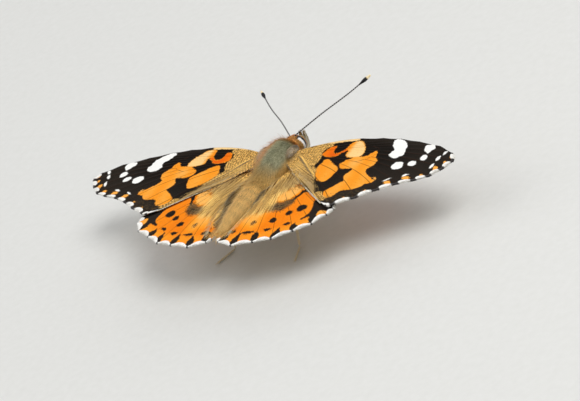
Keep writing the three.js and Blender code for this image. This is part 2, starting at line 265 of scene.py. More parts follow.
FRINGE = (0.18, 0.62)     # the skin ends this far inside the outline, at a vein and between two
ACROSS, ALONG = 13, 150   # faces between two veins, and from root to edge


def step(low, high, x):
    t = np.clip((x - low) / (high - low), 0.0, 1.0)
    return t * t * (3.0 - 2.0 * t)


def blend(a, b, t):
    return a + (b - a) * t


def hump(x, y, middle_x, middle_y, wide):
    return np.exp(-((x - middle_x) ** 2 + (y - middle_y) ** 2) / wide)


def forewing_height(x, y, s, across):
    """The tip turns up, the skin sags behind the stiff front edge, and the hind edge is low."""
    tip_turn = 0.09 * (y + 9.3) * np.clip((x - 8.0) / 24.0, 0.0, 1.0) ** 2
    hind = 0.3 * step(0.8, 1.0, across) * step(17.5, 14.0, x)
    level = 0.02 - 0.5 * s * s * np.sin(pi * across)
    return level + tip_turn - 0.25 * hump(x, y, 8.5, -6.0, 9.0) - hind


def fold_x(y):
    """Where the hindwing's inner part folds down beside the abdomen."""
    return 3.25 + 0.09 * (y + 4.6)


def hindwing_height(x, y, s, across):
    """The front part lies under the forewing, and the inner part folds down by the abdomen."""
    hind_edge = -5.5 - 0.77 * (x - 4.6)
    free = -0.3 - 0.38 * step(0.7, 1.0, s) - 0.5 * (1.0 - step(0.1, 0.5, s))
    free = free + 0.3 * hump(x, y, 17.0, -14.5, 9.0) - 0.14 * hump(x, y, 10.5, -15.0, 12.0)
    level = np.minimum(free, blend(-0.68, free, step(-0.2, 1.1, hind_edge - y)))
    fold = 0.3 * step(0.35, 0.0, np.abs(x - fold_x(y))) * step(-4.5, -6.5, y) * step(-14.0, -10.0, y)
    return level + fold - 0.8 * step(0.86, 1.0, across) * (1.0 - step(0.75, 1.0, s))


def on_wing(plan, height, s, at):
    """Points of the wing for a share s from root to edge and a place `at` counted in veins."""
    (y0, z0), (y1, z1) = plan["root"]
    count = len(plan["veins"])
    s, at = np.broadcast_arrays(np.asarray(s, float), np.asarray(at, float))
    low = np.clip(np.floor(at).astype(int), 0, count - 2)
    share = (at - low)[:, None]
    root_y = blend(y0, y1, np.arange(count) / (count - 1))
    root = np.stack([np.full(count, ROOT_X), root_y], 1)
    end = np.array([v[0] for v in plan["veins"]])
    pull = 2.0 * np.array([v[1] for v in plan["veins"]]) - 0.5 * root - 0.5 * end

    def on_vein(i):
        t = s[:, None]
        return (1 - t) ** 2 * root[i] + 2 * t * (1 - t) * pull[i] + t * t * end[i]

    flat = blend(on_vein(low), on_vein(low + 1), share)
    inward = np.array([ROOT_X, y0]) - flat
    inward /= np.maximum(np.linalg.norm(inward, axis=1), 1e-9)[:, None]
    between = 1.0 - (2.0 * share[:, 0] - 1.0) ** 2
    flat = flat + inward * (np.array(plan["dip"])[low] * step(0.9, 1.0, s) * between)[:, None]
    across = at / (count - 1)
    level = height(flat[:, 0], flat[:, 1], s, across)
    level = level + blend(z0, z1, across) * (1.0 - step(0.0, 0.25, s))
    return np.column_stack([flat, level])


def skin_edge(plan, at):
    """The share s at which the skin ends and the fringe begins."""
    ends = np.array([v[0] for v in plan["veins"]])
    reach = np.hypot(ends[:, 0] - ROOT_X, ends[:, 1] - plan["root"][0][0])
    reach = np.interp(at, np.arange(len(ends)), reach)
    between = step(0.02, 0.42, np.abs(at - np.rint(at)))
    start = step(plan["fringe_from"] - 1.0, plan["fringe_from"] + 0.5, at)
    return 1.0 - blend(*FRINGE, between) * start / reach


def curved(a, b, c, d, t):
    """The point at a share t of the smooth curve from b to c, with a before them and d after."""
    return (b + 0.5 * t * (c - a) + t * t * (a - 2.5 * b + 2 * c - 0.5 * d)
            + t ** 3 * (1.5 * (b - c) + 0.5 * (d - a)))


def rounded(outline, parts=5):
    """A smooth closed curve through the corners of an outline."""
    b = np.asarray(outline, float)
    a, c, d = np.roll(b, 1, 0), np.roll(b, -1, 0), np.roll(b, -2, 0)
    return np.stack([curved(a, b, c, d, t) for t in np.arange(parts) / parts], 1).reshape(-1, 2)


def depth(points, outline):
    """How far each point lies inside an outline, less than nothing outside it."""
    ring = rounded(outline)
    far = np.full(len(points), 1e9)
    inside = np.zeros(len(points), bool)
    for a, b in zip(ring, np.roll(ring, -1, 0)):
        ab = b - a
        t = np.clip(((points - a) @ ab) / max(ab @ ab, 1e-12), 0.0, 1.0)
        far = np.minimum(far, np.linalg.norm(points - a - t[:, None] * ab, axis=1))
        crosses = (a[1] > points[:, 1]) != (b[1] > points[:, 1])
        if abs(ab[1]) > 1e-12:
            inside ^= crosses & (points[:, 0] < a[0] + ab[0] * (points[:, 1] - a[1]) / ab[1])
    return np.where(inside, far, -far)


def near_line(points, line, half_width):
    """Like depth(), for a stroke of a given half width, or of one half width at each corner."""
    line = np.asarray(line, float)
    widths = np.broadcast_to(np.asarray(half_width, float), len(line))
    best = np.full(len(points), -1e9)
    for a, b, wa, wb in zip(line[:-1], line[1:], widths[:-1], widths[1:]):
        ab = b - a
        t = np.clip(((points - a) @ ab) / (ab @ ab), 0.0, 1.0)
        off = np.linalg.norm(points - a - t[:, None] * ab, axis=1)
        best = np.maximum(best, blend(wa, wb, t) - off)
    return best


def spot(points, x, y, half_long, half_short, turn=0.0):
    """Like depth(), for an oval."""
    c, s = cos(radians(turn)), sin(radians(turn))
    u = (points[:, 0] - x) * c + (points[:, 1] - y) * s
    v = (points[:, 1] - y) * c - (points[:, 0] - x) * s
    return (1.0 - np.hypot(u / half_long, v / half_short)) * min(half_long, half_short)


def spots(points, marks):
    return np.max([spot(points, *mark) for mark in marks], axis=0)


# The forewing's markings, in millimetres on the open wing, from the photo's two wings. They are
# outlines, strokes with a half width at each corner, and oval spots with their middle, half
# length, half width and turn. They colour the scales, which lie on the skin like roof tiles.
CELL_ORANGE = [
    (8.4, -2.85), (8.65, -1.9), (9.2, -1.3), (9.9, -1.15), (10.15, -1.6), (10.1, -2.2), (10.55, -2.7),
    (11.2, -2.75), (11.75, -2.3), (12.2, -1.9), (12.55, -2.35), (11.75, -2.85), (11.25, -3.4),
    (9.9, -3.45), (9.0, -3.2),
]
COSTAL_ORANGE = [
    (12.25, -0.85), (13.0, -0.35), (14.0, -0.42), (14.65, -0.95), (15.5, -1.95), (15.95, -2.95),
    (15.75, -3.8), (14.85, -3.95), (13.4, -3.8), (12.8, -3.3), (12.75, -2.4), (12.2, -2.0),
]
BASAL_ORANGE = [
    (9.6, -3.95), (10.4, -4.0), (11.65, -5.0), (13.1, -6.0), (13.45, -6.65), (13.25, -7.65),
    (12.5, -8.6), (11.75, -8.65), (10.6, -8.0), (9.6, -6.85), (8.95, -5.8), (9.15, -4.85),
]
OUTER_ORANGE = [
    (13.1, -5.4), (13.5, -4.75), (14.6, -4.15), (15.6, -3.9), (16.9, -3.8), (17.45, -3.25),
    (17.95, -2.85), (18.45, -3.3), (18.7, -4.1), (19.4, -4.9), (19.45, -5.5), (19.1, -6.25),
    (18.6, -6.7), (19.25, -7.6), (20.4, -8.4), (21.35, -9.1), (21.15, -9.6), (20.1, -9.8),
    (19.6, -10.4), (18.7, -10.85), (17.6, -10.85), (16.75, -11.1), (16.3, -11.9), (15.7, -12.25),
    (14.8, -12.2), (14.0, -11.5), (13.9, -10.8), (14.6, -10.1), (15.5, -9.3), (16.1, -8.9),
    (15.7, -8.3), (15.5, -7.6), (16.0, -6.85), (15.95, -6.4), (15.1, -6.35), (14.1, -6.3),
    (13.45, -5.9),
]
DULL_TAN = [
    (12.5, -10.75), (13.4, -10.8), (14.1, -11.5), (15.2, -12.4), (14.6, -12.8), (13.4, -12.3),
    (12.3, -11.5),
]
GOLD_BASE = [
    (0.0, 1.0), (8.2, 0.2), (9.1, -0.9), (8.5, -1.5), (8.1, -2.4), (8.5, -3.4), (8.4, -4.3),
    (8.1, -5.0), (8.8, -5.6), (9.4, -6.8), (10.0, -7.8), (10.6, -8.9), (11.5, -10.0), (12.3, -11.3),
    (12.9, -12.4), (9.0, -12.0), (0.0, -7.0),
]
# Painted light: a highlight along a raised vein near the root, and painted shade in a furrow just behind
# it.
LIT_VEIN_RIDGE = [(4.3, -2.7), (5.2, -3.35), (6.2, -4.2), (7.06, -4.95), (9.0, -6.57), (10.2, -7.8)]
LIT_VEIN_RIDGE_WIDTHS, RIDGE_SHADOW_WIDTHS = (0.07, 0.1, 0.09, 0.08, 0.06, 0.02), (0.1, 0.13, 0.13, 0.12, 0.1, 0.05)
RIDGE_SHADOW_BESIDE = (-0.16, -0.2)
FRONT_EDGE = (
    [(3.0, -1.9), (4.2, -1.35), (6.0, -0.75), (8.0, -0.3), (11.0, -0.05), (13.2, -0.1)],
    (0.1, 0.2, 0.26, 0.3, 0.27, 0.22),
)
HIND_EDGE = ([(13.0, -12.6), (14.4, -13.4), (16.9, -14.2)], (0.02, 0.34, 0.4))
INNER_STRIP = ([(5.0, -4.6), (9.0, -8.6), (13.0, -12.0)], (0.7, 1.2, 0.7))
GREY_EDGE = ([(15.5, -12.9), (20.0, -11.6)], 0.9)
WHITE_BAR = [
    (19.8, -0.75), (20.6, -0.6), (21.6, -0.9), (22.3, -1.45), (22.95, -2.15), (23.1, -3.0),
    (23.35, -3.6), (23.15, -4.25), (22.3, -4.6), (21.4, -4.35), (20.75, -3.85), (20.95, -3.2),
    (21.1, -2.9), (20.9, -2.5), (20.35, -2.0), (20.05, -1.4),
]
WHITE_NEAR_TIP = [
    (26.3, -2.5), (26.85, -2.25), (27.6, -2.35), (28.2, -2.9), (28.0, -3.5), (27.5, -4.0),
    (26.85, -3.65), (26.4, -3.15),
]
WHITE_SPOTS = (
    (27.3, -4.9, 0.62, 0.5, -25), (25.9, -5.9, 0.74, 0.5, -15), (23.6, -6.2, 0.98, 0.76, -10),
    (30.6, -4.2, 0.42, 0.22, 55), (29.95, -5.2, 0.45, 0.27, 70), (29.65, -6.6, 0.47, 0.27, 70),
    (23.4, -9.0, 0.58, 0.17, 25), (26.1, -8.2, 0.5, 0.16, 15),
)
MARGIN_ORANGE = (
    (32.0, -5.1, 0.34, 0.22, -60), (31.5, -6.05, 0.36, 0.28, -50), (30.5, -7.1, 0.52, 0.34, -45),
    (28.9, -8.3, 0.65, 0.28, -18), (26.5, -8.7, 0.72, 0.34, -10), (23.8, -9.55, 0.92, 0.34, -20),
    (21.25, -11.3, 0.55, 0.24, -35), (18.4, -12.55, 0.5, 0.15, -30), (21.2, -8.6, 0.5, 0.2, -40),
)


def forewing_marks(p):
    """Distances into the orange and the white, and the tone and overlays of the forewing."""
    x, y = p[:, 0], p[:, 1]
    margin = spots(p, MARGIN_ORANGE)
    cell, costal = depth(p, CELL_ORANGE), depth(p, COSTAL_ORANGE)
    front = near_line(p, *FRONT_EDGE)
    orange = [cell, costal, depth(p, BASAL_ORANGE), depth(p, OUTER_ORANGE), front, margin - 0.04]
    edge = step(-0.12, 0.05, front)
    tone = 0.5 + 0.04 * np.sin(x * 1.7) + 0.1 * step(0.0, 1.2, spot(p, 15.6, -5.2, 2.2, 1.2))
    for new_tone, where in ((0.06 + 0.16 * step(10.5, 8.6, x), step(-0.1, 0.2, cell)),
                            (0.36 + 0.56 * step(12.3, 13.6, x), step(-0.1, 0.25, costal)),
                            (1.0, edge), (0.62, step(-0.3, 0.0, margin))):
        tone = blend(tone, new_tone, where)
    white = [depth(p, WHITE_BAR), depth(p, WHITE_NEAR_TIP), spots(p, WHITE_SPOTS)]
    white += [near_line(p, *HIND_EDGE)]
    dull = step(-0.35, 0.3, depth(p, DULL_TAN))
    gold = np.maximum(step(-0.55, 0.45, depth(p, GOLD_BASE)), 0.7 * dull) * (1.0 - edge)
    inner = near_line(p, *INNER_STRIP)
    greyer = 0.15 + 0.85 * step(5.5, 10.0, x) - 0.3 * step(10.8, 12.2, x)
    grey = step(-0.6, 0.5, inner) * greyer * (1.0 - 0.9 * dull)
    grey = grey + 0.4 * step(-1.2, 0.8, near_line(p, *GREY_EDGE))
    # Painted highlight on the vein ridge, and painted shade beside it, which goes into the grey.
    ridge = near_line(p, LIT_VEIN_RIDGE, LIT_VEIN_RIDGE_WIDTHS)
    ridge_shadow = near_line(p - np.array(RIDGE_SHADOW_BESIDE), LIT_VEIN_RIDGE, RIDGE_SHADOW_WIDTHS)
    along_front = step(-0.9, 0.1, front) * step(19.0, 13.0, x)
    marble = np.maximum(step(22.5, 27.0, x - 0.9 * (y + 4.0)), along_front)
    return {"orange": np.max(orange, axis=0), "tone": tone, "white": np.max(white, axis=0), "gold": gold,
            "grey": np.maximum(grey, 1.2 * step(-0.05, 0.05, ridge_shadow)), "bright": step(-0.06, 0.05, ridge),
            "silky": 0.8 * step(-0.2, 0.6, inner), "marble": marble, "ring": np.full(len(p), 9.0)}


# The hindwing's markings, where the orange is all that isn't black. Silky hair hides them on
# the inner half, and beneath, each eyespot has a middle and a radius.
HIND_PALE = [
    (8.1, -9.2), (9.2, -8.95), (9.75, -9.6), (9.55, -10.6), (9.0, -11.7), (8.3, -12.45), (7.0, -12.65),
    (6.25, -12.2), (6.3, -11.0), (7.1, -10.0),
]
HIND_SMUDGE = [
    (9.2, -12.15), (9.45, -12.8), (8.9, -13.6), (8.1, -14.3), (6.9, -14.2), (6.6, -13.3), (7.8, -12.8),
]
HIND_APEX_BLACK = [
    (13.1, -12.3), (14.6, -12.75), (16.1, -13.3), (17.2, -13.9), (17.3, -14.5), (16.6, -14.6),
    (15.8, -14.75), (15.4, -15.2), (15.5, -15.7), (15.8, -16.2), (16.1, -16.8), (15.4, -17.1),
    (14.7, -16.6), (14.35, -15.95), (13.2, -16.3), (12.95, -16.05), (13.75, -15.5), (13.9, -14.6),
    (13.6, -13.4),
]
HIND_SPOTS = (
    (11.9, -14.0, 0.84, 0.68, -8), (10.3, -14.95, 0.58, 0.52, 0), (8.4, -16.4, 0.62, 0.5, -10),
    (11.15, -17.05, 0.6, 0.32, 15), (8.5, -18.15, 0.64, 0.3, 5), (5.45, -18.65, 1.0, 0.26, 6),
    (2.0, -18.45, 1.1, 0.36, 0), (15.25, -16.4, 0.5, 0.75, 10), (15.9, -16.9, 0.4, 0.4, 0),
)
VEIN_ENDS = (
    ((13.05, -18.05), (12.75, -17.7), (12.5, -16.9)), ((10.5, -19.5), (10.55, -18.9), (10.4, -17.9)),
    ((7.35, -20.1), (7.2, -19.5), (7.0, -18.6)), ((4.05, -20.7), (4.05, -20.1), (4.2, -19.0)),
    ((1.3, -19.9), (1.7, -19.5), (2.2, -18.9)),
)
VEIN_END_WIDTHS = (0.62, 0.6, 0.1)
DARK_BAND = ([(10.3, -9.4), (10.1, -10.5), (9.7, -11.4), (9.4, -12.2)], (0.55, 0.34, 0.28, 0.3))
BRIGHT_EDGE = ([(3, -19.9), (8, -19.7), (13.2, -18.1), (16, -16.8)], 0.3)
BEYOND_HAIR = [
    (7.6, -8.3), (20.0, -7.0), (20.0, -23.0), (0.9, -23.0), (1.0, -17.8), (2.0, -15.9), (3.6, -15.1),
    (5.4, -14.8), (6.6, -14.0), (6.2, -12.4), (6.2, -10.9), (7.2, -9.3),
]
EYESPOTS = (
    (14.1, -14.9, 0.5), (12.2, -15.8, 0.75), (9.9, -16.6, 0.5), (7.9, -17.2, 0.55), (5.4, -17.3, 0.85),
)


def hollow_shade(p):
    """Painted shade in the hollow beside the abdomen."""
    x, y = p[:, 0], p[:, 1]
    off = np.abs(x - 2.85 - 0.13 * (y + 8.5))
    return step(0.6, 0.15, off) * step(-7.0, -9.0, y) * step(-18.0, -16.0, y)


def hindwing_marks(p):
    """The same for the hindwing."""
    x, y = p[:, 0], p[:, 1]
    smudge = depth(p, HIND_SMUDGE)
    black = [depth(p, HIND_APEX_BLACK), spots(p, HIND_SPOTS), smudge - 0.45, near_line(p, *DARK_BAND)]
    black += [near_line(p, end, VEIN_END_WIDTHS) for end in VEIN_ENDS]
    tone = 0.3 + 0.07 * step(8.0, 15.0, x) + 0.13 * step(-1.4, 0.0, near_line(p, *BRIGHT_EDGE))
    for new_tone, where in ((0.68, step(-0.1, 0.5, depth(p, HIND_PALE))),
                            (0.58, step(-0.4, 0.1, spot(p, 16.2, -15.3, 0.8, 1.1, 0))),
                            (0.6, step(-17.5, -15.0, y + 0.3 * x) * step(7.5, 5.0, x))):
        tone = blend(tone, new_tone, where)
    # The grey also carries painted shade in the hollow beside the abdomen.
    grey = [1.25 * step(-0.9, 0.45, smudge), 0.75 * step(-0.3, 0.2, spot(p, 5.35, -16.9, 0.4, 0.45)),
            0.7 * step(-11.5, -8.5, y) * step(3.6, 5.4, x), hollow_shade(p)]
    ring = [np.hypot(x - spot_x, y - spot_y) / radius for spot_x, spot_y, radius in EYESPOTS]
    none = np.zeros(len(p))
    return {"orange": -np.max(black, axis=0), "tone": tone, "white": none - 1.0,
            "gold": 1.0 - step(-1.2, 2.0, depth(p, BEYOND_HAIR)), "grey": np.max(grey, axis=0),
            "bright": none, "silky": step(-5.0, -8.0, y + 0.45 * (x - 4.0)), "marble": none + 1.0,
            "ring": np.min(ring, axis=0)}


# The scales of the wings: rows of tiny tiles, each of one shade. They are black, orange, white
# and tan above, and beneath the hindwing and the forewing's tip they are marbled, with pale
# veins, and the rest is pinker.
TILE, ROW = 0.07, 0.11    # width of a scale and height of a row
scales = Finish("wing_scales", roughness=0.62, specular_ior_level=0.05)
lie = scales.attribute("lie", output=1)
tile = scales.node("TexBrick", {"offset": 0.5}, {
    "Vector": lie, "Color1": (0, 0, 0), "Color2": (255, 255, 255), "Mortar": (187.5, 187.5, 187.5),
    "Scale": 1.0, "Mortar Size": 0.004, "Mortar Smooth": 0.6, "Bias": 0.0, "Brick Width": TILE,
    "Row Height": ROW})
tile_edge = scales.node("TexBrick", {"offset": 0.5}, {
    "Vector": lie, "Scale": 1.0, "Mortar Size": 0.012, "Mortar Smooth": 1.0, "Brick Width": TILE,
    "Row Height": ROW}, output=1)
on_skin = scales.node("TexCoord", output=3)
cloud = scales.node("TexNoise", None, {"Vector": on_skin, "Scale": 900.0, "Detail": 3.0})
fine = scales.node("TexNoise", None, {"Vector": on_skin, "Scale": 4200.0, "Detail": 1.0})
patchy = scales.node("TexNoise", None, {"Vector": on_skin, "Scale": 220.0, "Detail": 2.0})
along_rows = scales.node("Mapping", None, {"Vector": lie, "Scale": (4.2, 0.2, 1.0)})
streak = scales.node("TexNoise", None, {"Vector": along_rows, "Scale": 1.0, "Detail": 4.0})
in_rows = scales.node("Mapping", None, {"Vector": lie, "Scale": (3.4, 2.3, 1.0)})
dots = scales.node("TexVoronoi", {"voronoi_dimensions": "2D"}, {
    "Vector": in_rows, "Scale": 1.0, "Randomness": 0.55})
jitter = (tile - 0.5) * 0.16 + (cloud - 0.5) * 0.45 + (fine - 0.5) * 0.2

# Above: orange on black, then the veins, the grey dust with painted shade beside the vein ridge and in
# the hollow by the abdomen, the tan, a painted highlight on the ridge, and the white spots over it.
orange, tone, white, gold = (scales.attribute(name) for name in ("orange", "tone", "white", "gold"))
grey, vein, outer, bright = (scales.attribute(name) for name in ("grey", "vein", "outer", "bright"))
silky, marble, ring, under = (scales.attribute(name) for name in ("silky", "marble", "ring", "under"))
in_orange = (orange + jitter).smooth(-0.05, 0.05)
warmth = tone + (tile - 0.5) * 0.12 + (patchy - 0.5) * 0.12 + (streak - 0.5) * 0.1
warm = scales.node("ValToRGB", {"stops": (
    (0.0, (232, 92, 12)), (0.3, (244, 130, 12)), (0.5, (252, 158, 40)), (0.7, (252, 182, 90)),
    (1.0, (254, 216, 150)))}, {0: warmth})
dark = scales.mix((22, 17, 12), (52, 44, 36), outer * (0.2 + patchy * 0.5) + (tile - 0.5) * 0.25)
colour = scales.mix(dark, warm, in_orange)
vein_line = (vein + (tile - 0.5) * 0.03).smooth(0.08, 0.03) * (1 - gold)
colour = scales.mix(colour, (50, 28, 16), vein_line * 0.75)
flecks = dots * 0.6 + tile * 0.3 + cloud * 0.5
speckle = scales.mix((44, 33, 20), (122, 98, 62), flecks.smooth(0.4, 0.9))
# Dark speckle where the grey is: grey dust, and painted shade beside the vein ridge and in the hollow.
in_grey = (grey - tile * 0.85 - (cloud - 0.5) * 0.5).smooth(-0.05, 0.25) * 0.95
colour = scales.mix(colour, speckle, in_grey)
between_dots = dots + (fine - 0.5) * 0.3 + (tile - 0.5) * 0.2 + (streak - 0.5) * 0.5
dotted = scales.mix((62, 36, 12), (242, 190, 104), between_dots.smooth(0.14, 0.56))
combed = streak * 1.3 + fine * 0.3 + tile * 0.15 - 0.35
silk = scales.mix((116, 74, 26), (246, 200, 114), combed.smooth(0.25, 0.68))
grey_silk = scales.mix((70, 56, 38), (150, 128, 96), streak.smooth(0.4, 0.6))
tan = scales.mix(scales.mix(dotted, silk, silky), grey_silk, grey * 0.75)
ragged = (tile - 0.5) * 0.35 + (cloud - 0.5) * 0.5 + (streak - 0.5) * silky * 0.8
in_tan = (gold * 1.25 - 0.12 + ragged).smooth(0.3 - silky * 0.15, 0.6 + silky * 0.25)
colour = scales.mix(colour, tan, in_tan)
# Painted highlight along the vein ridge.
colour = scales.mix(colour, (252, 204, 112), bright * 0.9)
colour = scales.mix(colour, (248, 246, 240), (white + jitter * 0.6).smooth(-0.05, 0.05))

# Beneath: marbled with pale veins and eyespots, or as above but pinker.
blotch = scales.node("TexNoise", None, {
    "Vector": on_skin, "Scale": 520.0, "Detail": 3.0, "Distortion": 1.2})
stone = scales.node("ValToRGB", {"stops": (
    (0.0, (92, 68, 42)), (0.42, (146, 116, 74)), (0.5, (236, 226, 200)), (0.56, (178, 152, 108)),
    (0.66, (122, 96, 60)))}, {0: blotch + (tile - 0.5) * 0.08})
for shade, where in (((240, 234, 214), vein.smooth(0.16, 0.06) * 0.85),
                     ((200, 160, 84), ring.smooth(1.25, 1.1)), ((40, 32, 26), ring.smooth(0.95, 0.85)),
                     ((110, 132, 160), ring.smooth(0.5, 0.4))):
    stone = scales.mix(stone, shade, where)
pink = scales.mix(colour, (246, 168, 130), in_orange * (1 - white.smooth(-0.05, 0.05)) * 0.7)
beneath = scales.mix(pink, stone, (marble + (cloud - 0.5) * 0.4).smooth(0.35, 0.65))
relief = tile * 0.4 + tile_edge * -0.6 + fine * 0.5 + streak * silky * gold * 3.0
bump = scales.node("Bump", None, {"Strength": 0.4, "Distance": 0.00003, "Height": relief})
scales.surface_is(base_color=scales.mix(colour, beneath, under), normal=bump, roughness=0.5 + tile * 0.2)


def paint(mesh, marks):
    """Stores values at a mesh's vertices, for its finish to read by name."""
    for name, values in marks.items():
        mesh.attributes.new(name, "FLOAT", "POINT").data.foreach_set("value", values)


def wing_skin(name, plan, height, marks, side):
    veins = len(plan["veins"])
    bm = bmesh.new()
    bmesh.ops.create_grid(bm, x_segments=ACROSS * (veins - 1), y_segments=ALONG, size=1.0)
    grid = np.array([v.co[:] for v in bm.verts])
    at = (grid[:, 0] + 1.0) / 2.0 * (veins - 1)
    s = (grid[:, 1] + 1.0) / 2.0 * skin_edge(plan, at)
    p = on_wing(plan, height, s, at)
    nearest = np.rint(at).astype(int)
    to_vein = np.linalg.norm((p - on_wing(plan, height, s, nearest.astype(float)))[:, :2], axis=1)
    starts = np.array([v[2] for v in plan["veins"]])[nearest]
    to_vein = to_vein + 0.5 * (1.0 - step(-0.01, 0.01, s - starts))
    first, last, cell_at = plan["cell"]
    cross = on_wing(plan, height, np.full(60, cell_at), np.linspace(first, last, 60))
    to_vein = np.minimum(to_vein, -near_line(p[:, :2], cross[:, :2], 0.0))
    rise = VEIN_RISE * np.exp(-(to_vein / VEIN_WIDTH) ** 2) * (1.0 - 0.6 * s)
    sag = SAG * np.sin(pi * (at - np.floor(at))) ** 2 * step(0.1, 0.4, s)
    for vertex, q, z in zip(bm.verts, p, p[:, 2] + SKIN / 2 + rise - sag):
        vertex.co = (q[0], q[1], z)
    bmesh.ops.solidify(bm, geom=bm.faces[:], thickness=SKIN)
    mesh = bpy.data.meshes.new(name)
    bm.to_mesh(mesh)
    bm.free()
    corners = np.zeros(len(mesh.vertices) * 3)
    mesh.vertices.foreach_get("co", corners)
    corners = corners.reshape(-1, 3)
    under = (np.arange(len(corners)) >= len(p)).astype(float)
    corners[len(p):, 2] -= 2.0 * rise
    flat = corners[:, :2].copy()
    comb_x, comb_y, comb_radius = plan["comb"]
    corners[:, 0] *= side
    mesh.vertices.foreach_set("co", placed(corners).ravel())
    if side < 0:
        mesh.flip_normals()
    paint(mesh, marks(flat))
    paint(mesh, {"vein": np.tile(to_vein + plan["ink"] * 0.5, 2),
                 "outer": step(0.55, 0.95, np.tile(s, 2)), "under": under})
    from_comb = np.hypot(flat[:, 0] - comb_x, flat[:, 1] - comb_y)
    turn = np.arctan2(flat[:, 1] - comb_y, flat[:, 0] - comb_x)
    lies = np.column_stack([turn * comb_radius, from_comb, under])
    mesh.attributes.new("lie", "FLOAT_VECTOR", "POINT").data.foreach_set("vector", lies.ravel())
    return mesh


for side_name, side in SIDES:
    for wing_name, plan, height, marks in (("forewing", FOREWING, forewing_height, forewing_marks),
                                           ("hindwing", HINDWING, hindwing_height, hindwing_marks)):
        mesh = wing_skin(f"{wing_name}_skin_{side_name}", plan, height, marks, side)
        skin = piece(mesh.name, mesh, scales, "wing_scales")
        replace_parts(skin, f"{wing_name}_{side_name}")

# The fringe: rows of long white scales along the outer edge, dark where a vein ends. Each clump
# of scales is a thin blade, rooted in the edge of the skin and a little longer or shorter.
RINGS = (0.0, 0.6)        # where along a blade its rings of three corners are
PATCH_SIZE = (0.0009, 0.003)  # a blade's share of the unwrapped skin


def unit(directions):
    return directions / np.linalg.norm(directions, axis=-1)[..., None]


def tuft_points(root, along, above, length, width, curl, taper):
    """Corners of three-sided tapered blades: rings of three, and one tip, for each root."""
    side = unit(np.cross(along, above))
    above = np.cross(side, along)
    points = []
    for f, t in zip(RINGS, taper):
        centre = root + along * (length * f)[:, None] + above * (length * curl * f * f)[:, None]
        half = (width * t / 2)[:, None]
        points += [centre - side * half, centre + above * half * 0.7, centre + side * half]
    points.append(root + along * length[:, None] + above * (length * curl)[:, None])
    return np.stack(points, 1)


def tufts(name, root, along, above, length, width, uv, marks, finish, slot, curl=0.0, taper=(0.8, 1.0)):
    """One mesh of many tufts. uv is each root's place on the unwrapped skin, in 0 to 1."""
    count, each, last = len(root), 3 * len(RINGS) + 1, 3 * len(RINGS)
    length, width, curl = (np.broadcast_to(value, count) for value in (length, width, curl))
    points = tuft_points(root, unit(along), above, length, width, curl, taper)
    pattern = [(2, 1, 0)]
    for k in range(0, last - 3, 3):
        pattern += [(k + j, k + (j + 1) % 3, k + 3 + (j + 1) % 3, k + 3 + j) for j in range(3)]
    pattern += [(last - 3 + j, last - 3 + (j + 1) % 3, last) for j in range(3)]
    starts = np.arange(count) * each
    faces = []
    for corners in pattern:
        faces += (starts[:, None] + np.array(corners)).tolist()
    mesh = bpy.data.meshes.new(name)
    mesh.from_pydata(placed(points.reshape(-1, 3)).tolist(), [], faces)
    spread = np.array([(j - 1) * PATCH_SIZE[0] for _ in RINGS for j in range(3)] + [0.0])
    reach = np.array([f for f in RINGS for _ in range(3)] + [1.0])
    patch = np.stack([uv[:, :1] + spread, uv[:, 1:] + (reach - 0.5) * PATCH_SIZE[1]], 2).reshape(-1, 2)
    corner = np.empty(len(mesh.loops), int)
    mesh.loops.foreach_get("vertex_index", corner)
    mesh.uv_layers.new(name="OFBake").data.foreach_set("uv", patch[corner].ravel())
    paint(mesh, {key: np.repeat(values, each) for key, values in marks.items()})
    paint(mesh, {"reach": np.tile(reach, count)})
    piece(name, mesh, finish, slot)
    # The faces that look out of the coat are shaded as the skin under them is.
    facing, sizes = np.empty(len(mesh.polygons) * 3), np.empty(len(mesh.polygons), int)
    mesh.polygons.foreach_get("normal", facing)
    mesh.polygons.foreach_get("loop_total", sizes)
    facing = np.repeat(facing.reshape(-1, 3), sizes, axis=0)
    soft = np.repeat(above, each, axis=0)[corner]
    looks_in = ((facing * soft).sum(1) < -0.3)[:, None]
    mesh.normals_split_custom_set(np.where(looks_in, facing, soft))


fringe = Finish("fringe_scales", roughness=0.7, sheen_weight=0.15)
white_scale = fringe.mix((236, 232, 222), (255, 253, 248), fringe.attribute("strand"))
fringe.surface_is(base_color=fringe.mix((40, 32, 28), white_scale, fringe.attribute("pale")))
CLUMPS = 60               # clumps of scales between two veins, in each row
ROW_HEIGHTS = (0.06, -0.02, -0.1)


def wing_fringe(name, plan, height, side, white_share):
    veins = len(plan["veins"])
    rng = np.random.default_rng(17 + veins)
    first, last = plan["fringe_from"], veins - 1.0
    at = np.linspace(first, last, int(CLUMPS * (last - first)))
    at = np.concatenate([at, at + 0.003, at - 0.003])
    at = np.clip(at + rng.uniform(-0.006, 0.006, len(at)), first, last)
    root = on_wing(plan, height, skin_edge(plan, at) - 0.004, at)
    along = on_wing(plan, height, np.ones(len(at)), at) - root
    length = np.linalg.norm(along, axis=1) * rng.uniform(0.92, 1.12, len(at))
    along += rng.normal(0, 0.08, along.shape) * length[:, None]
    root[:, 2] += np.repeat(ROW_HEIGHTS, len(at) // 3)
    root[:, 0] *= side
    along[:, 0] *= side
    above = np.tile([0.0, 0.0, 1.0], (len(at), 1))
    bare = 0.5 - white_share / 2
    from_vein = np.abs(at - np.rint(at)) + rng.uniform(-0.025, 0.025, len(at))
    uv = np.column_stack([root[:, 0] * side / 40.0 + 0.1, (root[:, 1] + 24.0) / 40.0])
    width = rng.uniform(0.11, 0.18, len(at))
    marks = {"pale": step(bare - 0.03, bare + 0.03, from_vein), "strand": rng.uniform(0, 1, len(at))}
    tufts(name, root, along, above, length, width, uv, marks, fringe, "wing_scales", taper=(1.0, 0.9))


for side_name, side in SIDES:
    wing_fringe(f"forewing_fringe_{side_name}", FOREWING, forewing_height, side, 0.62)
    wing_fringe(f"hindwing_fringe_{side_name}", HINDWING, hindwing_height, side, 0.9)

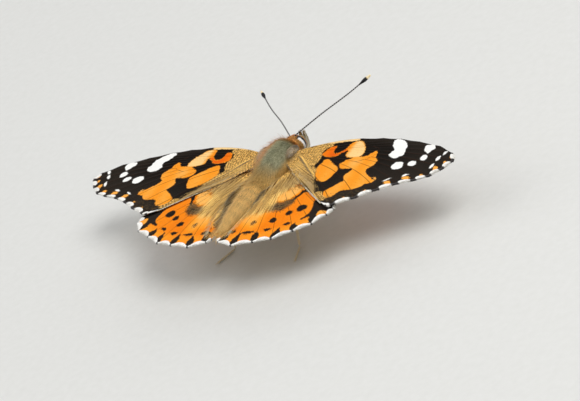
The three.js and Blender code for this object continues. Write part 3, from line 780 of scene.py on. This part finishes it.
# The body: head, thorax and abdomen under one soft skin without a seam, as hair hides the hard
# rings of the real ones. Each ring of the trunk is its place along the body, the height of its
# middle, its half width and its half height. The wings and legs are rooted in it.
TRUNK = [
    (2.72, -1.25, 0.02, 0.02), (2.66, -1.25, 0.36, 0.42), (2.45, -1.2, 0.7, 0.84),
    (1.95, -1.15, 0.92, 1.08), (1.4, -1.12, 1.08, 1.08), (1.05, -1.1, 1.1, 1.02),
    (0.75, -1.08, 1.16, 1.08), (0.4, -1.08, 1.38, 1.3), (0.0, -1.15, 1.75, 1.72),
    (-1.2, -1.35, 2.15, 2.28), (-3.0, -1.5, 2.35, 2.58), (-4.8, -1.5, 2.2, 2.35),
    (-6.3, -1.35, 1.82, 1.8), (-7.2, -1.2, 1.6, 1.52),
]
ABDOMEN_FRONT, ABDOMEN_LENGTH, SEGMENTS = -7.47, 11.2, 8
for t in np.linspace(0.0, 1.0, 41):
    bulge = 0.045 * abs(sin(pi * SEGMENTS * t))
    half = 1.8 * sin(pi * (0.3 + 0.695 * t)) ** 0.75 - 0.2 * (1 - t ** 6) + bulge
    TRUNK.append((ABDOMEN_FRONT - ABDOMEN_LENGTH * t * 0.975, -1.15 + 0.4 * t * t, half, half * 0.94))
TRUNK.append((ABDOMEN_FRONT - ABDOMEN_LENGTH * 0.99, -0.76, 0.0, 0.0))
TRUNK = np.array(TRUNK)
HEAD_END, TAIL_END = TRUNK[0, 0], TRUNK[-1, 0]
AROUND, BACKWARDS = 56, 200   # faces round the body and along it
MERGED = 0.002                # points of the body's skin closer than this are one


def trunk(y, turn):
    """Points of the trunk's skin, for a place along it and a turn from the back's middle."""
    near = [-(y + d) for d in (-0.12, 0.0, 0.12)]
    middle, wide, high = (sum(np.interp(n, -TRUNK[:, 0], TRUNK[:, column]) for n in near) / 3
                          for column in (1, 2, 3))
    ends = (y > HEAD_END - 0.01) | (y < TAIL_END + 0.01)
    wide, high = np.where(ends, 0.0, wide), np.where(ends, 0.0, high)
    return np.stack([wide * np.sin(turn), y * np.ones_like(turn), middle + high * np.cos(turn)], -1)


def outwards(y, turn):
    """The direction out of the trunk's skin at the same points."""
    near = 0.02
    back = trunk(y - near, turn) - trunk(y + near, turn)
    round_ = trunk(y, turn + near) - trunk(y, turn - near)
    normal = unit(np.cross(back, round_))
    inner = trunk(y, turn) - np.stack([0 * y, y, np.interp(-y, -TRUNK[:, 0], TRUNK[:, 1])], -1)
    return normal * np.sign((normal * inner).sum(-1))[..., None]


def coat_zones(p):
    """The body's markings: grey-blue back, orange crown, orange left rim with a painted glow, pale
    underside, tan rest, and painted shade on the abdomen's left flank.
    """
    x, y, z = p[:, 0], p[:, 1], p[:, 2]
    head = step(0.5, 1.1, y)
    back = step(-7.0, -4.2, y) * step(0.3, -0.5, y) * step(-0.5, 0.2, z)
    # Orange side hair on the left only, brightened as a painted glow of backlit hair.
    left_rim_glow = 0.9 * step(0.4, -0.6, x) * step(-5.6, -3.2, y) * (1 - head)
    rust = step(0.2, 1.1, -x) * step(-9.0, -10.5, y) * step(-16.5, -13.5, y) * step(-2.2, -1.2, z)
    orange = [0.75 * head * step(-2.4, -1.5, z), left_rim_glow, 0.55 * step(-0.5, 0.3, y) * (1 - head), 0.45 * rust]
    pale = [step(-1.8 - 0.6 * step(-7.0, -8.0, y), -3.2, z), (0.02 + 0.2 * step(-0.5, -3.0, y)) * left_rim_glow,
            0.07 * step(-8.4, -10.5, y) * step(-1.6, -0.6, z)]
    waist = step(-8.6, -7.4, y) * step(-4.6, -5.8, y) * step(-1.2, 0.2, z)
    # Painted shade: the abdomen's left flank is darkened as if in the shade of the hollow beside it.
    shade = step(-0.85, -1.35, x) * step(-7.6, -8.8, y) * step(-0.4, -0.9, z) * step(-2.8, -2.2, z)
    rings = np.cos(pi * 2 * SEGMENTS * (ABDOMEN_FRONT - y) / ABDOMEN_LENGTH)
    band = [0.5 * np.clip(rings, 0, 1) * step(-7.4, -8.4, y),
            0.4 * step(1.9, 0.8, np.abs(x + 0.2)) * waist, 1.9 * shade]
    return {"blue": step(1.75, 0.95, np.abs(x - 1.05)) * back, "orange": np.max(orange, axis=0),
            "pale": np.max(pale, axis=0), "band": np.max(band, axis=0)}


def coat_colour(finish, strand):
    """The same markings for the skin and for the tufts over it."""
    blue, orange, pale, band = (finish.attribute(name) for name in ("blue", "orange", "pale", "band"))
    colour = finish.mix((126, 80, 28), (255, 212, 124), strand)
    for deep, light, where in (((156, 88, 32), (255, 186, 100), orange),
                               ((76, 77, 54), (232, 229, 186), blue),
                               ((190, 176, 150), (246, 238, 220), pale)):
        colour = finish.mix(colour, finish.mix(deep, light, strand), where)
    # Darker where the marks are dark and where shade is painted.
    return finish.mix(colour, (74, 58, 36), band * 0.4)


coat = Finish("body_coat", roughness=0.7, specular_ior_level=0.2, sheen_weight=0.16, sheen_roughness=0.4)
shade = coat.attribute("strand") * 0.9 + coat.attribute("reach") * 0.3 - 0.1
coat.surface_is(base_color=coat_colour(coat, shade))
under_coat = Finish("body_skin", roughness=0.85)
on_body = under_coat.node("TexCoord", output=3)
combed = under_coat.node("Mapping", None, {"Vector": on_body, "Scale": (1.0, 0.25, 1.0)})
fuzz = under_coat.node("TexNoise", None, {"Vector": combed, "Scale": 9000.0, "Detail": 3.0})
nap = under_coat.node("Bump", None, {"Strength": 0.5, "Distance": 0.00006, "Height": fuzz})
duller = under_coat.mix(coat_colour(under_coat, fuzz), (70, 52, 32), 0.35)
under_coat.surface_is(base_color=duller, normal=nap)

bm = bmesh.new()
bmesh.ops.create_grid(bm, x_segments=AROUND, y_segments=BACKWARDS, size=1.0)
grid = (np.array([v.co[:] for v in bm.verts]) + 1.0) / 2.0
skin_points = trunk(blend(HEAD_END, TAIL_END, grid[:, 1]), (grid[:, 0] - 0.5) * 2 * pi)
for vertex, p in zip(bm.verts, placed(skin_points)):
    vertex.co = p
bmesh.ops.remove_doubles(bm, verts=bm.verts[:], dist=MERGED * MM)
bmesh.ops.recalc_face_normals(bm, faces=bm.faces[:])
skin = piece("body_skin", bm, under_coat, "thorax_fur")
corners = np.zeros(len(skin.data.vertices) * 3)
skin.data.vertices.foreach_get("co", corners)
paint(skin.data, coat_zones((corners.reshape(-1, 3) - placed((0, 0, 0))) / MM))
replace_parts(skin, "thorax", "abdomen", "head")


# The coat: long soft hair on the thorax that lies back over the wing roots, shorter hair on
# the abdomen and the shortest on the head. It grows out of the skin in tapered tufts.
def spread_out(count, seed):
    """Even but irregular places in a unit square."""
    i = np.arange(1, count + 1)[:, None]
    return (seed * 0.137 + i * np.array([0.7548776662466927, 0.5698402909980532])) % 1.0


def clumped(rng, a, b):
    """A random shade for each lock of hair, where a and b count the locks across and along."""
    shades = rng.uniform(0, 1, 997)
    return shades[(np.floor(a).astype(int) * 31 + np.floor(b).astype(int) * 173) % len(shades)]


def anywhere(root):
    return np.ones(len(root), bool)


def right_of_hollow(root):
    return root[:, 0] > -0.7


def beside_eyes(root):
    return (root[:, 1] < 1.3) | (np.abs(root[:, 0]) < 0.55) | (root[:, 2] < -2.1)


def body_coat(name, front, rear, count, length, width, tilt, seed, slot, grows=anywhere):
    rng = np.random.default_rng(seed)
    ys = np.linspace(front, rear, 200)
    girth = np.interp(-ys, -TRUNK[:, 0], TRUNK[:, 2]) + 0.05
    share = np.concatenate([[0], np.cumsum((girth[1:] + girth[:-1]) / 2)])
    uv = spread_out(count, seed)
    y = np.interp(uv[:, 0], share / share[-1], ys)
    turn = (uv[:, 1] - 0.5) * 2 * pi
    root, normal = trunk(y, turn), outwards(y, turn)
    chosen = grows(root)
    y, turn, root, normal = y[chosen], turn[chosen], root[chosen], normal[chosen]
    n = len(y)
    spread = 0.25 + 0.6 * step(-1.5, -4.5, y) * step(-8.5, -6.5, y)
    outer = np.column_stack([np.sin(turn) * spread, -np.ones(n), np.zeros(n)])
    outer += rng.normal(0, 0.14, (n, 3))
    flat = unit(outer - normal * (outer * normal).sum(1)[:, None])
    waist = step(-8.5, -7.5, y)
    lower = (0.55 + 0.45 * step(-2.5, 0.5, root[:, 2])) * (1.0 - 0.6 * step(-5.0, -7.0, y) * waist)
    lift = np.radians(tilt * lower + rng.uniform(-9, 9, n))
    along = flat * np.cos(lift)[:, None] + normal * np.sin(lift)[:, None]
    size = length * rng.uniform(0.75, 1.15, n) * (1.0 + 0.5 * step(-5.0, -6.5, y) * waist)
    down_body = (y - TAIL_END) / (HEAD_END - TAIL_END)
    uvs = np.column_stack([turn / (2 * pi) * 0.96 + 0.5, down_body * 0.96 + 0.02])
    lock = clumped(rng, turn * 15 + 0.7 * np.sin(y * 3.1), y * 3.5)
    # The rear of the abdomen has paler hair, and painted light makes it lighter on the right half than on
    # the left.
    paler_and_lit = 0.42 * step(-8.0, -10.0, y) * step(-1.6, 0.0, root[:, 0])
    marks = {**coat_zones(root), "strand": 0.5 * rng.uniform(0, 1, n) + 0.5 * lock + paler_and_lit}
    width = width * rng.uniform(0.8, 1.25, n)
    tufts(name, root - normal * 0.05, along, normal, size, width, uvs, marks, coat, slot, curl=-0.16)


COATS = (  # name, front and rear end, number of tufts, their length, width and tilt, seed and slot
    ("thorax_coat_inner", 0.6, -7.8, 17000, 1.05, 0.038, 38, 3, "thorax_fur"),
    ("thorax_coat_outer", 0.6, -7.8, 17000, 1.05, 0.038, 38, 4, "thorax_fur"),
    ("thorax_down", 0.7, -7.0, 2600, 1.75, 0.026, 50, 9, "thorax_fur"),
    ("abdomen_coat", -6.9, -18.4, 19500, 0.7, 0.038, 13, 5, "abdomen_fur"),
    ("abdomen_down", -7.6, -18.2, 3400, 1.4, 0.026, 26, 21, "abdomen_fur", right_of_hollow),
    ("tail_hair", -12.5, -18.5, 3500, 1.7, 0.035, 8, 15, "abdomen_fur"),
)
HEAD_COAT = ("head_coat", 2.65, 0.35, 5200, 0.46, 0.055, 34, 7, "head_fur", beside_eyes)
for layer in COATS:
    body_coat(*layer)

# A tegula, a small round flap of scales, covers each forewing's root. Its scales all lie
# outwards and back, and it is darker in front.
TEGULA_AT, TEGULA_RADII = np.array([2.35, -1.75, 0.1]), np.array([0.75, 1.15, 0.42])
for side_name, side in SIDES:
    rng = np.random.default_rng(29)
    count = 1500
    turn, rise = rng.uniform(-pi, pi, count), np.arcsin(rng.uniform(-0.2, 1.0, count))
    out = np.column_stack([np.cos(rise) * np.cos(turn), np.cos(rise) * np.sin(turn), np.sin(rise)])
    root = TEGULA_AT + out * TEGULA_RADII
    along = np.array([0.45, -1.0, 0.0]) + 0.35 * out + rng.normal(0, 0.12, (count, 3))
    dark_mark = step(0.1, 0.45, out[:, 1]) * step(-0.4, 0.0, out[:, 0]) * step(0.95, 0.6, out[:, 0])
    flip = np.array([side, 1, 1])
    length = rng.uniform(0.4, 0.75, count)
    marks = {"blue": np.full(count, 0.1), "orange": 0.35 * rng.uniform(0, 1, count),
             "pale": rng.uniform(0.2, 1, count),
             "band": np.maximum(1.9 * dark_mark, 1.4 * rng.uniform(0, 1, count) ** 4),
             "strand": rng.uniform(0, 1, count)}
    uvs = np.column_stack([turn / 7 + 0.5, rise / 2 + 0.2])
    tufts(f"tegula_{side_name}", root * flip, along * flip, out * flip, length, 0.05, uvs, marks, coat,
          "thorax_fur", taper=(1.0, 0.9))

body_coat(*HEAD_COAT)


# Hair on the wings: silky hair streams from the roots along the veins. It covers the inner half
# of each hindwing and thins out to scales further from the body, and the forewing's hind edge
# and the hindwing's inner edge have a fringe of it.
def nowhere(p, at):
    return 0.0 * at


def wing_hair(name, plan, height, side, count, seed, dense, length, width, tilt, turn=0.0, edge=nowhere,
              dark_and_shade=nowhere):
    rng = np.random.default_rng(seed)
    uv = spread_out(count, seed)
    s = np.sqrt(uv[:, 0]) * 0.9
    at = uv[:, 1] * (len(plan["veins"]) - 1)
    p = on_wing(plan, height, s, at)
    chosen = rng.uniform(0, 1, count) < dense(p, at)
    s, at, p = s[chosen], at[chosen], p[chosen]
    n = len(s)
    along = unit(on_wing(plan, height, s + 0.03, at) - p)
    along[:, :2] = unit(p[:, :2] - np.array(plan["comb"][:2]))
    along[:, 1] -= turn
    along += rng.normal(0, 0.06, (n, 3)) * [1.0, 1.0, 0.5]
    along[:, 2] += np.tan(np.radians(tilt + rng.uniform(-4, 5, n)))
    p[:, 2] += SKIN / 2 - 0.04
    x, y = p[:, 0], p[:, 1]
    size = length(p) * rng.uniform(0.6, 1.2, n)
    uvs = np.column_stack([x / 36.0 + 0.02, (y + 23.0) / 27.0])
    flip = np.array([side, 1, 1])
    lock = clumped(rng, at * 7 + 0.5 * np.sin(s * 20), s * 9)
    grey = 0.3 * step(4.4, 2.2, x) * step(-9, -5, y)
    # Painted highlight: the hair on the crest of the hindwing's fold is paler and bluer, as where it
    # catches the light.
    fold_highlight = step(0.45, 0.1, np.abs(x - fold_x(y))) * step(-4.0, -6.0, y)
    blue = np.max([grey, 0.55 * fold_highlight, 0.5 * edge(p, at)], axis=0)
    pale = np.maximum(0.3 * edge(p, at), 0.25 * fold_highlight)
    marks = {"blue": np.clip(blue, 0, 1), "orange": 0.3 * step(-12.0, -17.0, y),
             "pale": np.clip(pale, 0, 1), "band": dark_and_shade(p, at),
             "strand": 0.55 * rng.uniform(0, 1, n) + 0.45 * lock}
    above = np.tile([0.0, 0.0, 1.0], (n, 1))
    width = width * rng.uniform(0.7, 1.3, n)
    tufts(name, p * flip, along * flip, above, size, width, uvs, marks, coat, "wing_scales", curl=-0.06)


def forewing_hair(p, at):
    behind = 0.7 * step(11.6, 13.4, at) * step(12.5, 6.0, p[:, 0])
    return np.maximum(0.8 * step(4.4, 2.2, p[:, 0]), behind)


def inner_fringe(p, at):
    return step(13.8, 13.95, at) * step(8.0, 10.5, p[:, 0]) * step(17.0, 16.5, p[:, 0])


HAIR_EDGE = [
    (0.4, -4.5), (7.6, -7.6), (7.3, -9.3), (6.2, -10.9), (6.2, -12.4), (6.4, -13.9), (4.6, -14.8),
    (3.3, -15.2), (2.2, -16.0), (1.6, -17.4), (1.0, -19.0), (0.2, -19.0),
]


def hindwing_hair(p, at):
    thin = 1.0 - 0.8 * step(3.5, 5.5, p[:, 0]) * step(-9.5, -7.5, p[:, 1])
    return 0.6 * step(0.5, 2.6, depth(p[:, :2], HAIR_EDGE)) * thin


def inner_edge_hair(p, at):
    return step(7.5, 8.2, at) * step(-19.2, -17.6, p[:, 1])


# Darker hair between the wings' roots, with painted shade in the hollow beside the abdomen.
def hindwing_dark_and_shade(p, at):
    between = step(-11.0, -7.5, p[:, 1]) * step(3.0, 5.0, p[:, 0])
    return np.maximum(0.7 * between, 1.9 * hollow_shade(p))


for side_name, side in SIDES:
    front_wing, rear_wing = (FOREWING, forewing_height, side), (HINDWING, hindwing_height, side)
    wing_hair(f"forewing_hair_{side_name}", *front_wing, 20000, 11, forewing_hair,
              lambda p: 0.9 + 0.3 * step(6.0, 2.5, p[:, 0]), 0.035, 3, turn=0.5,
              edge=lambda p, at: step(13.3, 13.8, at),
              dark_and_shade=lambda p, at: 0.8 * step(5.0, 9.0, p[:, 0]) * step(14.0, 13.2, at))
    wing_hair(f"forewing_inner_fringe_{side_name}", *front_wing, 30000, 12, inner_fringe, lambda p: 0.45,
              0.06, 2, turn=1.6, edge=lambda p, at: 2.5 * step(13.0, 13.2, at))
    wing_hair(f"hindwing_hair_{side_name}", *rear_wing, 20000, 13, hindwing_hair,
              lambda p: 1.1 + 0.9 * step(6.5, 3.5, p[:, 0]), 0.035, 2, dark_and_shade=hindwing_dark_and_shade)
    # The hair of the hindwing's inner edge is darkened with painted shade in the hollow beside the
    # abdomen.
    wing_hair(f"inner_edge_hair_{side_name}", *rear_wing, 14000, 19, inner_edge_hair, lambda p: 1.3,
              0.04, 6, dark_and_shade=lambda p, at: 1.2 * hollow_shade(p))

# Large round eyes of many fine facets, dark behind and olive brown in front with an amber
# streak between. A crescent of short white scales borders each eye behind, and the cheek's
# scales fill the space between that and the coat.
EYE_CENTRE, EYE_RADII = np.array([0.9, 1.9, -1.15]), np.array([0.7, 0.8, 1.0])
eye = Finish("eye", roughness=0.25, coat_weight=0.3)
facet_at = eye.node("TexCoord", output=3)
facet = eye.node("TexVoronoi", {"feature": "DISTANCE_TO_EDGE"}, {
    "Vector": facet_at, "Scale": 22000.0, "Randomness": 0.25})
bands = eye.node("TexNoise", None, {"Vector": facet_at, "Scale": 1500.0, "Detail": 1.0})
front = eye.attribute("front")
iris = eye.mix((24, 18, 14), (222, 150, 48), front.smooth(0.12, 0.16) * front.smooth(0.28, 0.22))
olive = eye.mix((84, 70, 38), (158, 140, 86), bands.smooth(0.42, 0.62))
facets = eye.node("Bump", None, {"Strength": 0.3, "Distance": 0.00001, "Height": facet.smooth(0.0, 0.25)})
eye.surface_is(base_color=eye.mix(iris, olive, front.smooth(0.3, 0.44)), normal=facets)
border = Finish("eye_border_scales", roughness=0.75, sheen_weight=0.2)
border.surface_is(base_color=border.mix((246, 244, 238), (255, 255, 255), border.attribute("strand")))
EYE_SCALES = (  # name, number, rear and front end, turns between, length, width, lift and finish
    ("border", 1000, (-0.52, -0.28), (-95, 75), 0.2, 0.09, 0.08, border),
    ("cheek", 1300, (-0.98, -0.5), (-110, 110), 0.3, 0.05, 0.3, coat),
)
for side_name, side in SIDES:
    flip = np.array([side, 1, 1])
    bm = bmesh.new()
    bmesh.ops.create_uvsphere(bm, u_segments=48, v_segments=32, radius=1.0)
    layer = bm.verts.layers.float.new("front")
    for v in bm.verts:
        v[layer] = v.co.y
        v.co = placed((EYE_CENTRE + EYE_RADII * v.co[:]) * flip)
    bmesh.ops.recalc_face_normals(bm, faces=bm.faces[:])
    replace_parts(piece(f"eye_{side_name}_globe", bm, eye, "eye"), f"eye_{side_name}")
    rng = np.random.default_rng(31)
    for part, count, ends, turns, long, width, lift, finish in EYE_SCALES:
        turn = np.radians(rng.uniform(*turns, count))
        back = rng.uniform(*ends, count)
        round_ = np.sqrt(1 - back ** 2)
        out = np.column_stack([round_ * np.cos(turn), back, round_ * np.sin(turn)])
        root = EYE_CENTRE + out * EYE_RADII * 0.97
        along = out * lift + np.array([0.0, -0.8, 0.0]) + rng.normal(0, 0.12, (count, 3))
        uvs = np.column_stack([turn / 5 + 0.5, back * 0.45 + 0.5])
        marks = {"strand": rng.uniform(0, 1, count)}
        if finish is coat:
            marks.update(blue=0.2 * rng.uniform(0, 1, count), orange=np.full(count, 0.4),
                         pale=np.zeros(count), band=0.8 * rng.uniform(0, 1, count) ** 3)
        length = rng.uniform(0.8, 1.3, count) * long
        tufts(f"eye_{side_name}_{part}", root * flip, along * flip, out * flip, length, width, uvs, marks,
              finish, "head_fur", taper=(1.0, 0.8))

# Antennae: slender jointed feelers, black with a pale ring at each joint, each ending in a club
# with a cream tip. The joints swell a little, and the root sits in the brow above the eye.
LIMB_MERGED = 0.0008      # points of a limb closer than this are one


def through(route, t):
    """Points along a smooth curve through the corners of a route, evenly spaced."""
    p = np.asarray(route, float)
    p = np.vstack([2 * p[0] - p[1], p, 2 * p[-1] - p[-2]])
    spans = zip(p[:-3], p[1:-2], p[2:-1], p[3:])
    fine = [curved(*span, u) for span in spans for u in np.arange(24) / 24]
    fine = np.array(fine + [p[-2]])
    far = np.concatenate([[0], np.cumsum(np.linalg.norm(np.diff(fine, axis=0), axis=1))])
    t = np.asarray(t) * far[-1]
    return np.stack([np.interp(t, far, fine[:, k]) for k in range(3)], -1)


def tube(bm, route, radius, around=10, along=24, across=(0.0, 0.0, 1.0)):
    """Adds a closed limb round a route. radius(t) is its half thickness; it closes at both ends."""
    layer = bm.verts.layers.float.get("along") or bm.verts.layers.float.new("along")
    made = bmesh.ops.create_grid(bm, x_segments=around, y_segments=along, size=1.0)["verts"]
    grid = (np.array([v.co[:] for v in made]) + 1.0) / 2.0
    t = grid[:, 1]
    run = unit(through(route, np.minimum(t + 0.01, 1.0)) - through(route, np.maximum(t - 0.01, 0.0)))
    side = unit(np.cross(run, np.array(across)))
    turn = grid[:, 0] * 2 * pi
    thick = radius(t) * ((t > 1e-6) & (t < 1 - 1e-6))
    wide, high = (thick * np.cos(turn))[:, None], (thick * np.sin(turn))[:, None]
    points = through(route, t) + side * wide + np.cross(side, run) * high
    for vertex, q, share in zip(made, placed(points), t):
        vertex.co = q
        vertex[layer] = share
    bmesh.ops.remove_doubles(bm, verts=made, dist=LIMB_MERGED * MM)
    bmesh.ops.recalc_face_normals(bm, faces=bm.faces[:])


ANTENNAE = {
    "left": ((-0.45, 1.75, -0.3), (-0.6, 1.9, -0.15), (-3.6, 4.55, 0.5), (-7.0, 7.2, 1.05),
             (-10.65, 10.5, 1.75)),
    "right": ((0.35, 1.85, -0.2), (0.45, 2.0, 0.0), (3.6, 4.9, 1.05), (7.15, 8.15, 2.0),
              (9.9, 10.75, 2.95)),
}
JOINTS, CLUB_FROM, TIP_FROM = 42, 0.845, 0.945


def antenna_radius(t):
    knuckle = 0.012 * np.abs(np.sin(pi * JOINTS * t))
    club = 0.165 * step(CLUB_FROM, CLUB_FROM + 0.08, t) * (1 - 0.7 * step(0.93, 1.0, t))
    return 0.085 + knuckle + club


horn = Finish("antenna_scales", roughness=0.5, specular_ior_level=0.3)
share = horn.attribute("along")
in_joint = horn.node("Math", {"operation": "FRACT"}, {0: share * JOINTS})
before_club = share.smooth(CLUB_FROM + 0.01, CLUB_FROM - 0.01)
ringed = (in_joint.smooth(0.12, 0.2) * in_joint.smooth(0.42, 0.34)) * before_club
colour = horn.mix((22, 20, 22), (214, 210, 204), ringed * 0.85)
horn.surface_is(base_color=horn.mix(colour, (242, 222, 176), share.smooth(TIP_FROM, TIP_FROM + 0.015)))
for side_name, route in ANTENNAE.items():
    bm = bmesh.new()
    tube(bm, route, antenna_radius, along=JOINTS * 6)
    feeler = piece(f"antenna_{side_name}_jointed", bm, horn, "antenna")
    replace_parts(feeler, f"antenna_{side_name}", f"antenna_club_{side_name}")

# Mouth: two furred palps rise before the face, rooted under the head, with the tongue between
# them. The tongue is a thin ridged tube, rolled up like a watch spring.
LIMB_TUFTS = 1400


def furred(name, route, radius, length, seed, slot, light_part):
    """A coat round a thin limb, pale where light_part() says and dark on the rest."""
    count = LIMB_TUFTS
    rng = np.random.default_rng(seed)
    uv = spread_out(count, 4)
    t, turn = uv[:, 0], uv[:, 1] * 2 * pi
    centre = through(route, t)
    run = through(route, np.minimum(t + 0.02, 1.0)) - centre
    run[t > 0.97] = np.array(route[-1]) - np.array(route[-2])
    run = unit(run)
    aside = unit(np.cross(run, [1.0, 0.0, 0.0]))
    out = aside * np.cos(turn)[:, None] + np.cross(aside, run) * np.sin(turn)[:, None]
    along = run * 0.95 + out * 0.28 + rng.normal(0, 0.08, (count, 3))
    light = light_part(out)
    length = length * rng.uniform(0.75, 1.25, count)
    marks = {"blue": light, "orange": 0.3 * (1 - light), "pale": 0.8 * light,
             "band": 2.1 * (1 - light) * rng.uniform(0.6, 1.0, count), "strand": rng.uniform(0, 1, count)}
    tufts(name, centre + out * radius(t)[:, None], along, out, length, 0.045, uv * 0.9 + 0.05, marks, coat,
          slot, taper=(1.0, 0.8))


def palp_radius(t):
    return 0.17 + 0.1 * np.sin(pi * t) - 0.09 * t * t


PALP = ((0.44, 2.0, -2.6), (0.42, 2.2, -2.85), (0.42, 3.0, -2.6), (0.4, 3.4, -1.75), (0.36, 3.65, -0.85))
ACROSS_X = (1.0, 0.0, 0.0)
for side_name, side in SIDES:
    bm = bmesh.new()
    route = [(x * side, y, z) for x, y, z in PALP]
    tube(bm, route, palp_radius, around=12, across=ACROSS_X)
    palp = piece(f"palp_{side_name}_core", bm, under_coat, "head_fur")
    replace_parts(palp, f"palp_{side_name}")
    corners = np.ones(len(palp.data.vertices))
    paint(palp.data, {"blue": 0.4 * corners, "orange": 0.2 * corners, "pale": 0.0 * corners,
                      "band": 2.0 * corners})
    furred(f"palp_{side_name}_coat", route, lambda t: palp_radius(t) - 0.02, 0.4, 23, "head_fur",
           lambda out: 0.85 * step(0.35, 0.9, out[:, 0] * side) * step(0.1, -0.6, out[:, 1] - 0.4))

COIL_TURNS, COIL_POINTS, COIL_AT = 2.75, 60, (2.5, -3.38)
tongue = Finish("tongue", roughness=0.35)
ridge = tongue.node("Math", {"operation": "SINE"}, {0: tongue.attribute("along") * 900.0})
ribs = tongue.node("Bump", None, {"Strength": 0.4, "Distance": 0.00001, "Height": ridge})
tongue.surface_is(base_color=tongue.mix((52, 30, 16), (92, 58, 30), ridge * 0.5 + 0.5), normal=ribs)
coil = []
for k in range(COIL_POINTS):
    share = k / (COIL_POINTS - 1)
    turn = share * 2 * pi * COIL_TURNS - 0.6
    far = 0.74 - 0.56 * share
    coil.append((0.0, COIL_AT[0] - far * sin(turn), COIL_AT[1] + far * cos(turn)))
bm = bmesh.new()
tube(bm, coil, lambda t: 0.1 - 0.04 * t, around=8, along=170, across=ACROSS_X)
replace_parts(piece("tongue_coil", bm, tongue, "tongue"), "proboscis")

# Legs: four walking legs under the chest, of a thigh, a spined shin, and a foot of five joints
# that stands flat on the floor and ends in two claws. They are covered in pale mottled scales.
LEGS = {  # hip, knee, ankle and toe
    "middle": ((0.9, -2.4, -3.6), (5.6, -1.5, -3.3), (7.4, -0.7, -8.2), (10.6, 0.9, -8.2)),
    "hind": ((0.9, -4.8, -3.5), (4.5, -8.3, -3.6), (5.9, -12.3, -8.2), (7.2, -15.7, -8.2)),
}
FOOT_JOINTS, SPINES = 5, 7
limb = Finish("leg_scales", roughness=0.7, sheen_weight=0.2)
limb_at = limb.node("TexCoord", output=3)
mottle = limb.node("TexNoise", None, {"Vector": limb_at, "Scale": 3500.0, "Detail": 3.0})
limb_tile = limb.node("TexVoronoi", None, {"Vector": limb_at, "Scale": 12000.0})
tiled = limb.node("Bump", None, {"Strength": 0.5, "Distance": 0.00003, "Height": limb_tile})
shade = (mottle * 0.7 + limb_tile * 0.9).smooth(0.25, 0.6)
limb.surface_is(base_color=limb.mix((112, 86, 56), (226, 208, 172), shade), normal=tiled)
for pair, corners in LEGS.items():
    for side_name, side in SIDES:
        bm = bmesh.new()
        hip, knee, ankle, toe = (np.array(corner, float) * [side, 1, 1] for corner in corners)
        tube(bm, (hip, (hip + knee) / 2 + [0, 0, 0.25], knee),
             lambda t: 0.2 + 0.16 * np.sin(pi * np.clip(t * 1.1, 0, 1)), along=20)
        tube(bm, (knee + [0, 0, 0.1], (knee + ankle) / 2, ankle),
             lambda t: 0.17 + 0.05 * np.sin(pi * t) - 0.02 * t, along=18)
        foot = toe - ankle
        for joint in range(FOOT_JOINTS):
            a, b = ankle + foot * (joint * 0.17), ankle + foot * (joint * 0.17 + 0.2)
            tube(bm, (a, (a + b) / 2, b), lambda t: 0.12 + 0.045 * t - 0.03 * step(0.9, 1.0, t), around=8,
                 along=8)
        run = foot / np.linalg.norm(foot)
        aside = np.cross(run, [0, 0, 1.0])
        claw = ankle + foot * 0.87
        for spread in (-1, 1):
            tube(bm, (claw, claw + run * 0.26 + aside * spread * 0.12 + [0, 0, 0.04],
                      claw + run * 0.42 + aside * spread * 0.14 - [0, 0, 0.12]),
                 lambda t: 0.045 - 0.035 * t, around=6, along=8)
        for k in range(SPINES):
            start = knee + (ankle - knee) * (0.25 + 0.11 * k)
            outer = aside if k % 2 else -aside
            tube(bm, (start, start + outer * 0.2 + [0, 0, -0.14], start + outer * 0.34 + [0, 0, -0.32]),
                 lambda t: 0.035 - 0.027 * t, around=5, along=4)
        leg = piece(f"{pair}_leg_{side_name}", bm, limb, "leg_scales")
        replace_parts(leg, f"{pair}_femur_{side_name}", f"{pair}_tibia_{side_name}",
                    f"{pair}_tarsus_{side_name}")


# The forelegs are short furred brushes, folded under the front of the chest.
def foreleg_radius(t):
    return 0.24 - 0.08 * t


FORELEG = (
    (0.8, -1.4, -2.9), (0.9, -1.4, -3.2), (1.05, -0.9, -4.1), (0.95, 0.6, -3.75), (0.85, 1.7, -3.05),
)
for side_name, side in SIDES:
    bm = bmesh.new()
    route = [(x * side, y, z) for x, y, z in FORELEG]
    tube(bm, route, foreleg_radius, along=30, across=ACROSS_X)
    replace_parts(piece(f"foreleg_{side_name}_core", bm, limb, "leg_scales"), f"foreleg_{side_name}")
    furred(f"foreleg_{side_name}_brush", route, lambda t: foreleg_radius(t) - 0.02, 0.55, 27, "leg_scales",
           lambda out: 0.75 + 0.25 * out[:, 2])
